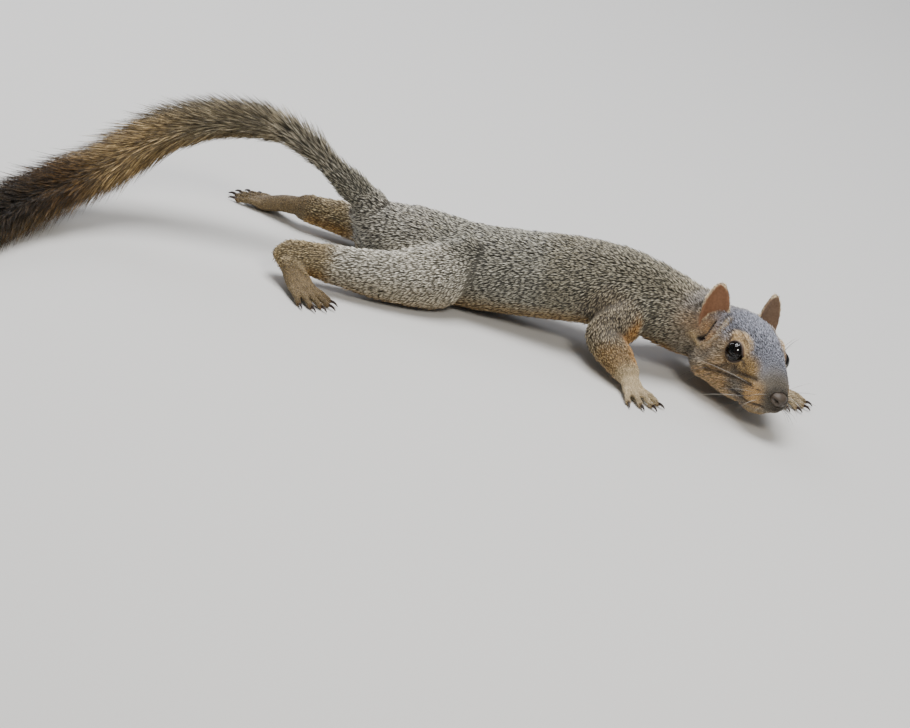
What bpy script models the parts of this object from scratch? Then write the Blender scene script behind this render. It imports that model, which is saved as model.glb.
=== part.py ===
"""A young fox squirrel lying stretched on its belly, as a still, life-size model.

The whole outer form, out to the tips of the coat, is lofted from sections, melted into one
surface and then parted with thin cuts into head, neck, chest, loin, rump, tail lengths, limbs
and feet. Ears, eyes, nose pad and claws are solids of their own.

Frame: +X from tail to head, +Y the animal's left, +Z up. The origin is on the belly's flat,
on the floor. The tables below are in millimetres, and MM turns them into metres.
"""

import math

import bmesh
import bpy
import numpy as np
from mathutils import Matrix, Vector
from mathutils.bvhtree import BVHTree

MM = 0.001
RIGHT, LEFT = -1, 1
SIDE_NAMES = {RIGHT: "right", LEFT: "left"}

# Driving sizes.
GAP = 0.3
VOXEL = 0.95
MELTED_TRIANGLES = 8000
FLESH_TRIANGLES = 7300
THINNING_STEP = 0.03
SMALLEST_CRUMB = 20.0

# Sections of the trunk from tail root to nape: x, y, z of the axis, then how far the coat
# reaches above it, below it and to each side.
TRUNK = [
    (-47, 0, 29, 8, 9, 11),
    (-38, 0, 25, 14, 18, 19),
    (-20, 0, 21, 19.5, 22, 25),
    (8, 0, 21, 20, 22, 25),
    (36, 0, 26, 20, 22, 24),
    (62, 0, 31, 20.5, 21.5, 24.5),
    (84, 0, 33, 20, 20, 24),
    (100, 0, 32, 19, 18.5, 21.5),
    (114, 1, 29.5, 18, 18, 20),
    (127, 3, 26.5, 17.5, 18, 19),
]

# The tail's axis and its coat: thick is half its height, wide is half its breadth.
TAIL = [
    (-34, 0, 27, 9, 9, 11),
    (-52, 0, 37, 8.5, 8.5, 10),
    (-73, -1, 49.5, 8.5, 8.5, 10.5),
    (-98, -3, 59, 9.5, 9.5, 12.5),
    (-124, -9, 58, 10.5, 10.5, 14.5),
    (-150, -24, 46, 11.8, 11.8, 17),
    (-173, -46, 31, 13, 13, 19),
    (-191, -74, 18.5, 14, 14, 20),
    (-204, -102, 13.2, 13.6, 13.6, 19),
    (-214, -127, 11.5, 11.5, 12, 15.5),
    (-220, -146, 9, 5, 7, 7),
]
TAIL_LENGTHS = 5

# The head stands in its own frame: +X to the nose, +Y left, +Z up, from between the ears.
HEAD_AT = Vector((142.6, -5, 24.3))
HEAD_YAW, HEAD_PITCH, HEAD_TILT = -58.0, 1.0, 5.0
SKULL = [
    (-20, 0, 0, 7, 9, 10),
    (-14, 0, 0, 13.5, 14.5, 16),
    (-6, 0, 0, 18, 18.5, 19.5),
    (4, 0, 0, 20.0, 20.0, 21),
    (14, 0, 0, 20.2, 20.0, 20),
    (22, 0, 0, 19.2, 19.4, 17.8),
    (30, 0, -0.6, 17.0, 17.8, 14.8),
    (37, 0, -1.8, 15.0, 15.2, 12.2),
    (43.5, 0, -3.4, 12.6, 12.2, 11.2),
    (48.5, 0, -3.9, 10.2, 9.4, 10.2),
    (51.6, 0, -3.9, 7.4, 7.0, 8.0),
]
SKULL_SQUARENESS = 2.3
# Bulges on each side of the head: centre, radii.
HEAD_BULGES = [
    ((7, 12, -7), (13, 9.5, 10.5)),
    ((24, 10.3, 12.0), (9.5, 5.6, 4.6)),
    ((44, 5.6, -6.8), (8, 6.0, 6.2)),
    ((37, 1.6, -12.4), (11, 5.4, 5.2)),
]
EYE_AT, EYE_RADIUS = Vector((26.2, 12.9, 6.6)), 5.5
NOSE_SECTIONS = [
    (54.6, 0, -1.6, 3.1, 3.5, 4.5),
    (56.4, 0, -2.2, 3.1, 3.5, 4.5),
    (57.8, 0, -2.7, 2.1, 2.5, 3.2),
]
EAR_HEIGHT, EAR_HALF_WIDTH, EAR_THICK, EAR_CUP = 27.0, 7.2, 1.4, 4.6
EAR_ROOT = Vector((3.0, 16.0, 8.0))
EAR_LEAN_BACK, EAR_LEAN_OUT, EAR_SUNK = 12.0, 2.0, 5.0
EAR_TURN_OUT = {1: 8.0, -1: 28.0}  # the right ear listens sideways, the left one forwards

# Limbs: joints from the trunk outwards, each with the section round it.
HAUNCH = {
    RIGHT: [
        (10, -13, 25, 15, 16, 11),
        (-6, -25, 18.5, 15.5, 18, 13),
        (-24, -34, 14.5, 13, 14, 12),
        (-42, -40, 13.5, 11.2, 11.2, 10.4),
        (-60, -44.5, 13.5, 9.2, 9.0, 8.4),
        (-75, -47.5, 13.5, 7.6, 7.4, 7.2),
    ],
    LEFT: [
        (10, 13, 23.5, 13.5, 16, 11),
        (-6, 23.5, 17.5, 13.5, 17, 13),
        (-24, 30, 13.5, 12.0, 13.0, 11.5),
        (-42, 32.5, 12.5, 10.6, 10.8, 10),
        (-62, 33, 11.5, 8.6, 8.8, 8),
        (-78, 33, 11.0, 7.0, 7.0, 6.8),
    ],
}
ARM = {
    RIGHT: [
        (95, -13, 32, 12, 13, 12),
        (87, -21, 24, 12, 13, 12.5),
        (84, -27.5, 17, 10.8, 11, 11),
        (90.5, -37.5, 12, 8.6, 8.6, 8.6),
        (98, -46.5, 8.2, 6.2, 6.2, 6.6),
    ],
    LEFT: [
        (93, 13, 32, 11, 11, 10),
        (108, 24.5, 23, 10, 10, 9.5),
        (129, 32.5, 13.5, 8.4, 8.4, 8),
        (149, 27, 9.6, 7.2, 7.2, 7.4),
        (166, 17, 7.8, 5.8, 5.8, 6.2),
    ],
}


class Foot:
    """One foot: a palm from heel to ball, and digits that fan out from the ball."""

    def __init__(self, name, side, heel, ball, heading, palm, digits, digit_reach, claw):
        self.name = f"{name}_{SIDE_NAMES[side]}"
        self.side = side
        self.heel = Vector(heel)
        self.ball = Vector(ball)
        self.heading = math.radians(heading)
        self.palm_width, self.palm_thick = palm
        self.digits = digits
        self.digit_reach = digit_reach
        self.claw_length = claw

    def along(self, turn=0.0):
        """The level direction the digits point in, turned outwards by some degrees."""
        angle = self.heading + math.radians(turn)
        return Vector((math.cos(angle), math.sin(angle), 0))

    def across(self):
        """The level direction from the first digit to the last."""
        return Vector((-math.sin(self.heading), math.cos(self.heading), 0))

    def palm(self):
        """Sections of the palm, from heel to ball."""
        middle = self.heel.lerp(self.ball, 0.5) + Vector((0, 0, 0.8))
        wide, thick = self.palm_width, self.palm_thick
        return [
            (*self.heel, thick * 0.95, thick * 0.95, wide * 0.72),
            (*middle, thick * 0.85, thick * 0.85, wide * 0.86),
            (*self.ball, thick * 0.8, thick * 0.8, wide),
            (*(self.ball + self.along() * 3.5), thick * 0.55, thick * 0.6, wide * 0.85),
        ]

    def digit(self, number):
        """(knuckle, middle joint, tip, thickness) of one digit."""
        spread = number - (len(self.digits) - 1) / 2
        reach = self.digit_reach * self.digits[number]
        way = self.along(self.fan(spread))
        spacing, thickness, _ = DIGIT_SHAPES[len(self.digits)]
        root = self.ball + self.across() * (spread * spacing)
        knuckle = root.copy()
        knuckle.z = max(root.z, thickness + 1.0)
        bend = knuckle + way * (reach * 0.52)
        bend.z = thickness + 1.7
        tip = knuckle + way * reach
        tip.z = thickness - 0.25
        return knuckle, bend, tip, thickness, way

    def fan(self, spread):
        """Degrees by which a digit turns away from the middle one."""
        return spread * DIGIT_SHAPES[len(self.digits)][2]

    def claw(self, number):
        """Sections of one claw: a hooked spike from the digit's end."""
        _, _, tip, thickness, way = self.digit(number)
        root = tip + way * (thickness * 0.35) + Vector((0, 0, 0.5))
        length = self.claw_length
        return [
            (*root, 0.95, 0.95, 0.72),
            (*(root + way * (length * 0.5) + Vector((0, 0, 0.15))), 0.78, 0.78, 0.55),
            (*(root + way * (length * 0.85) - Vector((0, 0, 0.55))), 0.42, 0.42, 0.34),
            (*(root + way * length - Vector((0, 0, 1.15))), 0.22, 0.22, 0.2),
        ]


HIND_TOES = (0.78, 0.97, 1.0, 0.95, 0.72)
FINGERS = (0.86, 1.0, 0.98, 0.8)
# By the number of digits: their spacing at the ball, half their thickness, and the fan's step in degrees.
DIGIT_SHAPES = {5: (3.3, 1.7, 9.5), 4: (3.3, 1.65, 14.5)}
FEET = [
    Foot("hind_foot", RIGHT, (-78.5, -48, 13.0), (-66, -63, 4.2), -41, (7.6, 5.4), HIND_TOES, 16.5, 4.6),
    Foot("hind_foot", LEFT, (-82.5, 33.5, 10.5), (-98, 42, 3.7), 148, (7.4, 5.0), HIND_TOES, 16.5, 4.6),
    Foot("forepaw", RIGHT, (98, -46.5, 7.2), (103.5, -54, 3.4), -53, (6.2, 4.2), FINGERS, 13.5, 4.2),
    Foot("forepaw", LEFT, (166, 17, 7.0), (175.5, 11, 3.3), -32, (6.2, 4.0), FINGERS, 13.5, 4.2),
]

COLOURS = {
    "coat": ((0.30, 0.25, 0.18, 1), 0.85, 0.0),
    "tail": ((0.24, 0.17, 0.10, 1), 0.85, 0.0),
    "foot": ((0.62, 0.40, 0.19, 1), 0.8, 0.0),
    "ear": ((0.50, 0.28, 0.14, 1), 0.75, 0.0),
    "eye": ((0.010, 0.007, 0.006, 1), 0.06, 0.0),
    "nose": ((0.10, 0.075, 0.065, 1), 0.45, 0.0),
    "claw": ((0.05, 0.035, 0.028, 1), 0.35, 0.0),
}


def material(kind):
    """The Principled material of one kind of surface, made once."""
    found = bpy.data.materials.get(kind)
    if found:
        return found
    colour, roughness, metallic = COLOURS[kind]
    made = bpy.data.materials.new(kind)
    made.use_nodes = True
    shader = made.node_tree.nodes["Principled BSDF"]
    shader.inputs["Base Color"].default_value = colour
    shader.inputs["Roughness"].default_value = roughness
    shader.inputs["Metallic"].default_value = metallic
    made.diffuse_color = colour
    return made


def spline(rows, per_span):
    """Rows of numbers, passed through smoothly with per_span steps from each to the next."""
    table = np.array(rows, float)
    padded = np.vstack([2 * table[0] - table[1], table, 2 * table[-1] - table[-2]])
    out = []
    for i in range(len(table) - 1):
        a, b, c, d = padded[i : i + 4]
        for step in range(per_span):
            t = step / per_span
            out.append(
                0.5
                * (
                    2 * b
                    + (c - a) * t
                    + (2 * a - 5 * b + 4 * c - d) * t**2
                    + (3 * b - a - 3 * c + d) * t**3
                )
            )
    out.append(table[-1])
    return np.array(out)


def rounded(rows, steps):
    """The same sections with more at each end that close it like a dome."""
    ends = []
    for end, inner in ((rows[0], rows[1]), (rows[-1], rows[-2])):
        way = end[:3] - inner[:3]
        way /= np.linalg.norm(way)
        reach = min(end[3:])
        dome = []
        for step in range(steps):
            turned = math.radians(80 * (step + 1) / steps)
            centre = end[:3] + way * reach * math.sin(turned)
            dome.append(np.concatenate([centre, end[3:] * math.cos(turned)]))
        ends.append(dome)
    return list(reversed(ends[0])) + rows + ends[1]


def bowed(part, squareness):
    """A sine or cosine, bent so that the round section it draws comes nearer to a square."""
    return math.copysign(abs(part) ** (2 / squareness), part)


def loft_into(bm, sections, sides=20, per_span=4, dome=3, place=Matrix(), squareness=2.0):
    """Adds a closed tube through sections of x, y, z, up, down and side, with domed ends."""
    rows = rounded(list(spline(sections, per_span)), dome)
    rings = []
    for i, row in enumerate(rows):
        before, after = rows[max(i - 1, 0)][:3], rows[min(i + 1, len(rows) - 1)][:3]
        along = Vector(after - before).normalized()
        aside = along.cross(Vector((0, 0, 1))).normalized()
        above = aside.cross(along)
        up, down, side = row[3:]
        ring = []
        for k in range(sides):
            turn = 2 * math.pi * k / sides
            height = bowed(math.sin(turn), squareness) * (up if math.sin(turn) > 0 else down)
            spot = Vector(row[:3]) + aside * (bowed(math.cos(turn), squareness) * side) + above * height
            ring.append(bm.verts.new(place @ (spot * MM)))
        rings.append(ring)
    for one, two in zip(rings, rings[1:]):
        for k in range(sides):
            following = (k + 1) % sides
            bm.faces.new((one[k], one[following], two[following], two[k]))
    bm.faces.new(list(reversed(rings[0])))
    bm.faces.new(rings[-1])


def ball_into(bm, centre, radii, place=Matrix(), detail=14):
    """Adds an ellipsoid."""
    stretch = Matrix.Diagonal((*(Vector(radii) * MM), 1))
    where = place @ Matrix.Translation(Vector(centre) * MM) @ stretch
    bmesh.ops.create_uvsphere(bm, u_segments=detail, v_segments=detail // 2 + 2, radius=1, matrix=where)


def object_of(name, bm, kind=None, smooth=True):
    """A linked object that holds a bmesh, its faces pointing out."""
    bmesh.ops.recalc_face_normals(bm, faces=bm.faces)
    mesh = bpy.data.meshes.new(name)
    bm.to_mesh(mesh)
    bm.free()
    made = bpy.data.objects.new(name, mesh)
    bpy.context.scene.collection.objects.link(made)
    if kind:
        mesh.materials.append(material(kind))
    if smooth:
        mesh.shade_smooth()
    return made


def settled(obj):
    """Applies the object's modifiers to its mesh."""
    bpy.context.view_layer.update()
    graph = bpy.context.evaluated_depsgraph_get()
    mesh = bpy.data.meshes.new_from_object(obj.evaluated_get(graph))
    obj.modifiers.clear()
    obj.data = mesh
    return obj


def dropped(*objects):
    """Removes helper objects."""
    for obj in objects:
        bpy.data.objects.remove(obj)


def head_place():
    """The matrix from the head's own frame to the row's, in metres."""
    turn = (
        Matrix.Rotation(math.radians(HEAD_YAW), 4, "Z")
        @ Matrix.Rotation(math.radians(HEAD_PITCH), 4, "Y")
        @ Matrix.Rotation(math.radians(-HEAD_TILT), 4, "X")
    )
    return Matrix.Translation(HEAD_AT * MM) @ turn


def mirrored(spot, side):
    """A place on the left of the head, or its twin on the right."""
    return Vector((spot[0], spot[1] * side, spot[2]))


def flesh():
    """Trunk, head, limbs, feet and tail, melted into one smooth surface."""
    bm = bmesh.new()
    loft_into(bm, TRUNK, sides=28)
    loft_into(bm, TAIL, sides=24)
    head = head_place()
    loft_into(bm, SKULL, sides=28, place=head, squareness=SKULL_SQUARENESS)
    for side in (RIGHT, LEFT):
        for centre, radii in HEAD_BULGES:
            ball_into(bm, mirrored(centre, side), radii, head)
        loft_into(bm, HAUNCH[side])
        loft_into(bm, ARM[side])
    for foot in FEET:
        loft_into(bm, foot.palm(), sides=16)
        for number in range(len(foot.digits)):
            knuckle, bend, tip, thickness, _ = foot.digit(number)
            rows = [
                (*spot, radius, radius, radius)
                for spot, radius in (
                    (knuckle, thickness * 1.05),
                    (bend, thickness * 0.95),
                    (tip, thickness * 0.98),
                )
            ]
            loft_into(bm, rows, sides=12)
    whole = object_of("flesh", bm)
    melt = whole.modifiers.new("melt", "REMESH")
    melt.mode = "VOXEL"
    melt.voxel_size = VOXEL * MM
    settled(whole)
    soften(whole)
    thin = whole.modifiers.new("thin", "DECIMATE")
    thin.ratio = MELTED_TRIANGLES / triangle_count(whole)
    settled(whole)
    return whole


def triangle_count(obj):
    """How many triangles the object's mesh has."""
    obj.data.calc_loop_triangles()
    return len(obj.data.loop_triangles)


def soften(whole):
    """Rounds the creases where limbs meet the trunk, and less so on the feet and the face."""
    points = np.empty(len(whole.data.vertices) * 3)
    whole.data.vertices.foreach_get("co", points)
    points = points.reshape(-1, 3) / MM
    fine_spots = [foot.ball.lerp(foot.heel, 0.2) + foot.along() * 4 for foot in FEET]
    fine = np.array([list(spot) for spot in fine_spots])
    from_feet = np.linalg.norm(points[:, None] - fine[None], axis=2).min(axis=1)
    from_head = np.linalg.norm(points - np.array(HEAD_AT + Vector((14, -12, 0))), axis=1)
    soft = np.clip((from_feet - 18) / 14, 0.08, 1) * np.clip((from_head - 26) / 14, 0.22, 1)
    group = whole.vertex_groups.new(name="soft")
    for level in np.unique(np.round(soft, 2)):
        members = np.flatnonzero(np.round(soft, 2) == level)
        group.add(members.tolist(), float(level), "REPLACE")
    ease = whole.modifiers.new("ease", "SMOOTH")
    ease.factor = 0.5
    ease.iterations = 14
    ease.vertex_group = "soft"
    settled(whole)


def slab_into(bm, at, facing, size):
    """Adds a thin square plate that parts the flesh at a place, square to a direction."""
    turn = Vector(facing).to_track_quat("Z", "Y").to_matrix().to_4x4()
    flat = Matrix.Diagonal((size * MM, size * MM, GAP * MM, 1))
    bmesh.ops.create_cube(bm, size=1, matrix=Matrix.Translation(Vector(at) * MM) @ turn @ flat)


def along_tail(share):
    """The place and direction a share of the way along the tail."""
    line = spline(TAIL, 12)[:, :3]
    reached = np.concatenate([[0], np.cumsum(np.linalg.norm(np.diff(line, axis=0), axis=1))])
    want = share * reached[-1]
    here, ahead = (
        Vector([np.interp(want + more, reached, line[:, axis]) for axis in range(3)]) for more in (-2, 2)
    )
    return here.lerp(ahead, 0.5), ahead - here


def shell_into(bm, centre, radii, turn):
    """Adds a thin hollow egg, whose wall parts what is inside it from what is outside."""
    spun = Matrix.Rotation(math.radians(turn), 4, "Z")
    place = Matrix.Translation(Vector(centre) * MM) @ spun
    for grow, inner in ((GAP / 2, False), (-GAP / 2, True)):
        size = Matrix.Diagonal([(radius + grow) * MM for radius in radii] + [1])
        made = bmesh.ops.create_uvsphere(bm, u_segments=16, v_segments=10, radius=1, matrix=place @ size)
        if inner:
            faces = {face for vert in made["verts"] for face in vert.link_faces}
            bmesh.ops.reverse_faces(bm, faces=list(faces))


def cutter(name, bm):
    """A helper that only cuts."""
    mesh = bpy.data.meshes.new(name)
    bm.to_mesh(mesh)
    bm.free()
    made = bpy.data.objects.new(name, mesh)
    bpy.context.scene.collection.objects.link(made)
    made.hide_render = True
    made.display_type = "WIRE"
    return made


def cut(target, *tools):
    """Takes the tools away from the target, then removes them."""
    for tool in tools:
        step = target.modifiers.new("cut", "BOOLEAN")
        step.operation = "DIFFERENCE"
        step.object = tool
        step.solver = "EXACT"
    settled(target)
    dropped(*tools)
    return target


def floor_block():
    """Everything below the floor, which leaves the flats that the animal rests on."""
    bm = bmesh.new()
    where = Matrix.Translation((0, 0, -0.05)) @ Matrix.Diagonal((0.8, 0.6, 0.1, 1))
    bmesh.ops.create_cube(bm, size=1, matrix=where)
    return cutter("below_floor", bm)


def shells():
    """Egg-shaped cuts that part each thigh and each upper arm from the rest."""
    bm = bmesh.new()
    for centre, radii, turn in LIMB_SHELLS:
        shell_into(bm, centre, radii, turn)
    return cutter("shells", bm)


def slabs(rows):
    """Flat cuts, each a place, a direction to cut square to, and a size."""
    bm = bmesh.new()
    for at, facing, size in rows:
        slab_into(bm, at, facing, size)
    return cutter("slabs", bm)


def tail_slabs():
    """The cuts between the tail's lengths, the first of them from the rump."""
    shares = [TAIL_ROOT + (1 - TAIL_ROOT) * n / TAIL_LENGTHS for n in range(TAIL_LENGTHS)]
    return [(*along_tail(share), 62) for share in shares]


def claw_heel(rows):
    """The pocket's first section, which reaches back past the claw's own by the gap."""
    first, second = Vector(rows[0][:3]), Vector(rows[1][:3])
    back = first - (second - first).normalized() * GAP
    return (*back, *(r + GAP for r in rows[0][3:]))


def claws():
    """Makes the claws, and gives a cutter of the pockets they stand in, a little fatter."""
    pockets = bmesh.new()
    for foot in FEET:
        for number in range(len(foot.digits)):
            bm = bmesh.new()
            rows = foot.claw(number)
            loft_into(bm, rows, sides=6, per_span=1, dome=0)
            object_of(f"claw_{foot.name}_{number + 1}", bm, "claw")
            fat = [(*row[:3], *(r + GAP for r in row[3:])) for row in rows]
            fat[0] = claw_heel(rows)
            loft_into(pockets, fat, sides=6, per_span=1, dome=0)
    bmesh.ops.recalc_face_normals(pockets, faces=pockets.faces)
    return cutter("claw_pockets", pockets)


def eyes_and_nose():
    """Makes the eyeballs and the nose pad, and gives a cutter of their sockets."""
    head, sockets = head_place(), bmesh.new()
    for side in (RIGHT, LEFT):
        centre = mirrored(EYE_AT, side)
        bm = bmesh.new()
        ball_into(bm, centre, [EYE_RADIUS] * 3, head)
        object_of(f"eye_{SIDE_NAMES[side]}", bm, "eye")
        ball_into(sockets, centre, [EYE_RADIUS + GAP] * 3, head)
    bm = bmesh.new()
    loft_into(bm, NOSE_SECTIONS, sides=12, per_span=2, dome=2, place=head)
    object_of("nose", bm, "nose")
    fat = [(*row[:3], *(r + GAP for r in row[3:])) for row in NOSE_SECTIONS]
    loft_into(sockets, fat, sides=12, per_span=2, dome=2, place=head)
    bmesh.ops.recalc_face_normals(sockets, faces=sockets.faces)
    return cutter("sockets", sockets)


def ear_row(share):
    """(height, half width, cup) of the ear a share of the way up."""
    half = EAR_HALF_WIDTH * (1 - share**3.2) ** 0.5 * (0.8 + 0.2 * math.sin(share * 3.0))
    return EAR_HEIGHT * share, half, EAR_CUP * (1 - 0.7 * share)


def closed(obj):
    """Whether every edge of the object's mesh joins two faces."""
    bm = bmesh.new()
    bm.from_mesh(obj.data)
    answer = all(len(edge.link_faces) == 2 for edge in bm.edges)
    bm.free()
    return answer


def shortcut(face):
    """Whether two corners with no side of the face between them meet in another face too."""
    for vert in face.verts:
        beside = {edge.other_vert(vert) for edge in vert.link_edges if face in edge.link_faces}
        apart = set(face.verts) - beside - {vert}
        if any(apart & set(other.verts) for other in vert.link_faces if other != face):
            return True
    return False


def split_up(obj):
    """Splits all faces into triangles, from the middle where a diagonal would double an edge."""
    bm = bmesh.new()
    bm.from_mesh(obj.data)
    bmesh.ops.poke(bm, faces=[face for face in bm.faces if len(face.verts) > 3 and shortcut(face)])
    bmesh.ops.triangulate(bm, faces=bm.faces)
    bm.to_mesh(obj.data)
    bm.free()


def lighten(nodes):
    """Leaves out triangles that the shape doesn't need, but no more than keep a node closed."""
    wanted = FLESH_TRIANGLES / sum(triangle_count(node) for node in nodes)
    for node in nodes:
        split_up(node)
        full, ratio = node.data, wanted
        while ratio < 1:
            thin = node.modifiers.new("thin", "DECIMATE")
            thin.ratio = ratio
            settled(node)
            if closed(node):
                break
            node.data = full
            ratio += THINNING_STEP


def ear(side, neighbours):
    """One ear: a cupped leaf, wide below and round above, cut off where it meets the head."""
    across, upward = 8, 6
    bm = bmesh.new()
    grid = []
    for row in range(upward):
        height, half, cup = ear_row(math.sin(row / upward * math.pi / 2))
        line = []
        for column in range(across + 1):
            turn = -1 + 2 * column / across
            line.append(bm.verts.new(Vector((-cup * (1 - turn**2), turn * half, height)) * MM))
        grid.append(line)
    for low, high in zip(grid, grid[1:]):
        for k in range(across):
            bm.faces.new((low[k], low[k + 1], high[k + 1], high[k]))
    tip = bm.verts.new(Vector((-0.5 * ear_row(1)[2], 0, EAR_HEIGHT)) * MM)
    for one, two in zip(grid[-1], grid[-1][1:]):
        bm.faces.new((one, two, tip))
    turn = (
        Matrix.Translation(mirrored(EAR_ROOT, side) * MM)
        @ Matrix.Rotation(math.radians(-EAR_LEAN_OUT * side), 4, "X")
        @ Matrix.Rotation(math.radians(-EAR_LEAN_BACK), 4, "Y")
        @ Matrix.Rotation(math.radians(EAR_TURN_OUT[side] * side), 4, "Z")
        @ Matrix.Translation((0, 0, -EAR_SUNK * MM))
    )
    bm.transform(head_place() @ turn)
    made = object_of(f"ear_{SIDE_NAMES[side]}", bm, "ear")
    thick = made.modifiers.new("thick", "SOLIDIFY")
    thick.thickness = EAR_THICK * MM
    thick.offset = 0
    settled(made)
    return cut(made, *[grown(solid) for solid in neighbours])


def grown(solid):
    """A cutter of a solid's shape that is larger all round by the gap."""
    tool = bpy.data.objects.new(f"{solid.name}_grown", solid.data.copy())
    bpy.context.scene.collection.objects.link(tool)
    tool.hide_render = True
    tool.display_type = "WIRE"
    grow = tool.modifiers.new("grow", "DISPLACE")
    grow.strength = GAP * MM
    grow.mid_level = 0
    return settled(tool)


# The egg-shaped cuts: centre, radii and a turn about Z.
LIMB_SHELLS = [
    ((-20, -37, 14), (37, 18.5, 30), 17),
    ((-21, 33, 14), (37, 18.5, 30), -7),
    ((84.5, -25, 23), (16.5, 15.5, 20), 0),
    ((108, 29, 22), (26, 14, 19), 16),
]

# What the egg-shaped cuts leave whole: a place inside each piece, then the flat cuts across it.
TAIL_ROOT = 0.06
PIECES = {
    "thigh_right": ((-18, -34, 14), []),
    "thigh_left": ((-18, 31, 14), []),
    "upper_arm_right": ((84, -26, 22), []),
    "upper_arm_left": ((110, 25, 21), []),
    "leg_right": ((-64, -45.5, 13.5), [((-72, -54.5, 8), (0, -0.85, -0.53), 44)]),
    "leg_left": ((-68, 33, 11), [((-75, 33, 11), (-1, 0, 0), 24)]),
    "arm_right": ((98, -46, 8.2), [((97, -45.3, 8.6), (0.61, -0.73, -0.31), 20)]),
    "arm_left": ((156, 22, 8.5), [((162.5, 19.5, 8), (0.87, -0.48, -0.1), 18)]),
    "trunk": (
        (20, 0, 25),
        [
            ((126.2, 0, 26), (0.866, -0.5, 0), 90),
            ((107, 0, 31), (0.97, 0, -0.2), 60),
            ((50, 0, 30), (1, 0, 0.1), 90),
            ((-12, 0, 22), (1, 0, 0), 90),
        ],
    ),
}

# The nodes that the flat cuts leave: a place inside each and its material.
NODES = {
    "head": ((158, -25, 22), "coat"),
    "neck": ((118, 0, 28), "coat"),
    "chest": ((78, 0, 33), "coat"),
    "loin": ((20, 0, 24), "coat"),
    "rump": ((-28, 0, 24), "coat"),
    "thigh_right": ((-18, -34, 14), "coat"),
    "thigh_left": ((-18, 31, 14), "coat"),
    "shank_right": ((-58, -44, 13), "coat"),
    "shank_left": ((-60, 33, 12), "coat"),
    "hind_foot_right": ((-66.5, -61.5, 5.5), "foot"),
    "hind_foot_left": ((-90, 38, 7.5), "foot"),
    "upper_arm_right": ((84, -26, 22), "coat"),
    "upper_arm_left": ((110, 26, 21), "coat"),
    "forearm_right": ((94.5, -42, 10), "coat"),
    "forearm_left": ((150, 26.5, 9.5), "coat"),
    "forepaw_right": ((102, -52, 5), "foot"),
    "forepaw_left": ((172, 13.5, 5), "foot"),
}


def node_places():
    """A place inside each node of flesh, with its material; the tail's lengths are worked out."""
    step = (1 - TAIL_ROOT) / TAIL_LENGTHS
    tail = {
        f"tail_{n + 1}": (along_tail(TAIL_ROOT + step * (n + 0.5))[0], "tail")
        for n in range(TAIL_LENGTHS)
    }
    return {**NODES, **tail}


def loose_pieces(bm):
    """The faces of each piece of a mesh that touches no other."""
    left, pieces = set(bm.faces), []
    for start in bm.faces:
        if start not in left:
            continue
        left.remove(start)
        todo, found = [start], []
        while todo:
            face = todo.pop()
            found.append(face)
            for edge in face.edges:
                for other in edge.link_faces:
                    if other in left:
                        left.remove(other)
                        todo.append(other)
        pieces.append(found)
    return pieces


def volume_of(faces):
    """The cubic metres that a closed set of faces holds."""
    total = 0.0
    for face in faces:
        first, *others = [vert.co for vert in face.verts]
        for one, two in zip(others, others[1:]):
            total += first.dot(one.cross(two)) / 6
    return total


def holds(bm, place):
    """Whether a place is inside a closed mesh: a line up from it leaves an odd number of times."""
    tree, spot, crossings = BVHTree.FromBMesh(bm), Vector(place) * MM, 0
    while True:
        hit, *_ = tree.ray_cast(spot, Vector((0, 0, 1)))
        if hit is None:
            return crossings % 2 == 1
        crossings += 1
        spot = hit + Vector((0, 0, 1e-7))


def parted(whole, places):
    """Splits a cut solid into its loose pieces; each takes the name whose place is inside it."""
    bm = bmesh.new()
    bm.from_mesh(whole.data)
    dropped(whole)
    made = []
    for faces in loose_pieces(bm):
        if volume_of(faces) < SMALLEST_CRUMB * MM**3:
            continue
        piece = bmesh.new()
        corners = dict.fromkeys(vert for face in faces for vert in face.verts)
        twins = {vert: piece.verts.new(vert.co) for vert in corners}
        for face in faces:
            piece.faces.new([twins[vert] for vert in face.verts])
        piece.normal_update()
        name = next(name for name, (place, _) in places.items() if holds(piece, place))
        made.append(object_of(name, piece))
    bm.free()
    return made


def main():
    """Builds the squirrel."""
    for obj in list(bpy.data.objects):
        bpy.data.objects.remove(obj)
    whole = cut(flesh(), floor_block())
    cut(whole, claws(), eyes_and_nose())
    cut(whole, shells())
    places, nodes = node_places(), []
    for piece in parted(whole, PIECES):
        rows = PIECES[piece.name][1] + (tail_slabs() if piece.name == "trunk" else [])
        if rows:
            cut(piece, slabs(rows))
        for node in parted(piece, places):
            node.data.materials.append(material(places[node.name][1]))
            nodes.append(node)
    lighten(nodes)
    for side in (RIGHT, LEFT):
        ear(side, [bpy.data.objects[name] for name in ("head", "neck")])


if __name__ == "__main__":
    main()
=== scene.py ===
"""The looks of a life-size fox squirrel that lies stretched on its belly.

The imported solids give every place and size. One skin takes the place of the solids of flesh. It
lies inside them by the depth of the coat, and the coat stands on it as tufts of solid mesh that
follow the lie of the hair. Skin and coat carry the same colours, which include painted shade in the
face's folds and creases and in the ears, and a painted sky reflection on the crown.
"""

from __future__ import annotations

import logging
import math
from dataclasses import dataclass, field, replace
from enum import Enum

import bmesh
import bpy
import numpy as np
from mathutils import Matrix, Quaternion, Vector
from mathutils.bvhtree import BVHTree


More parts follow.
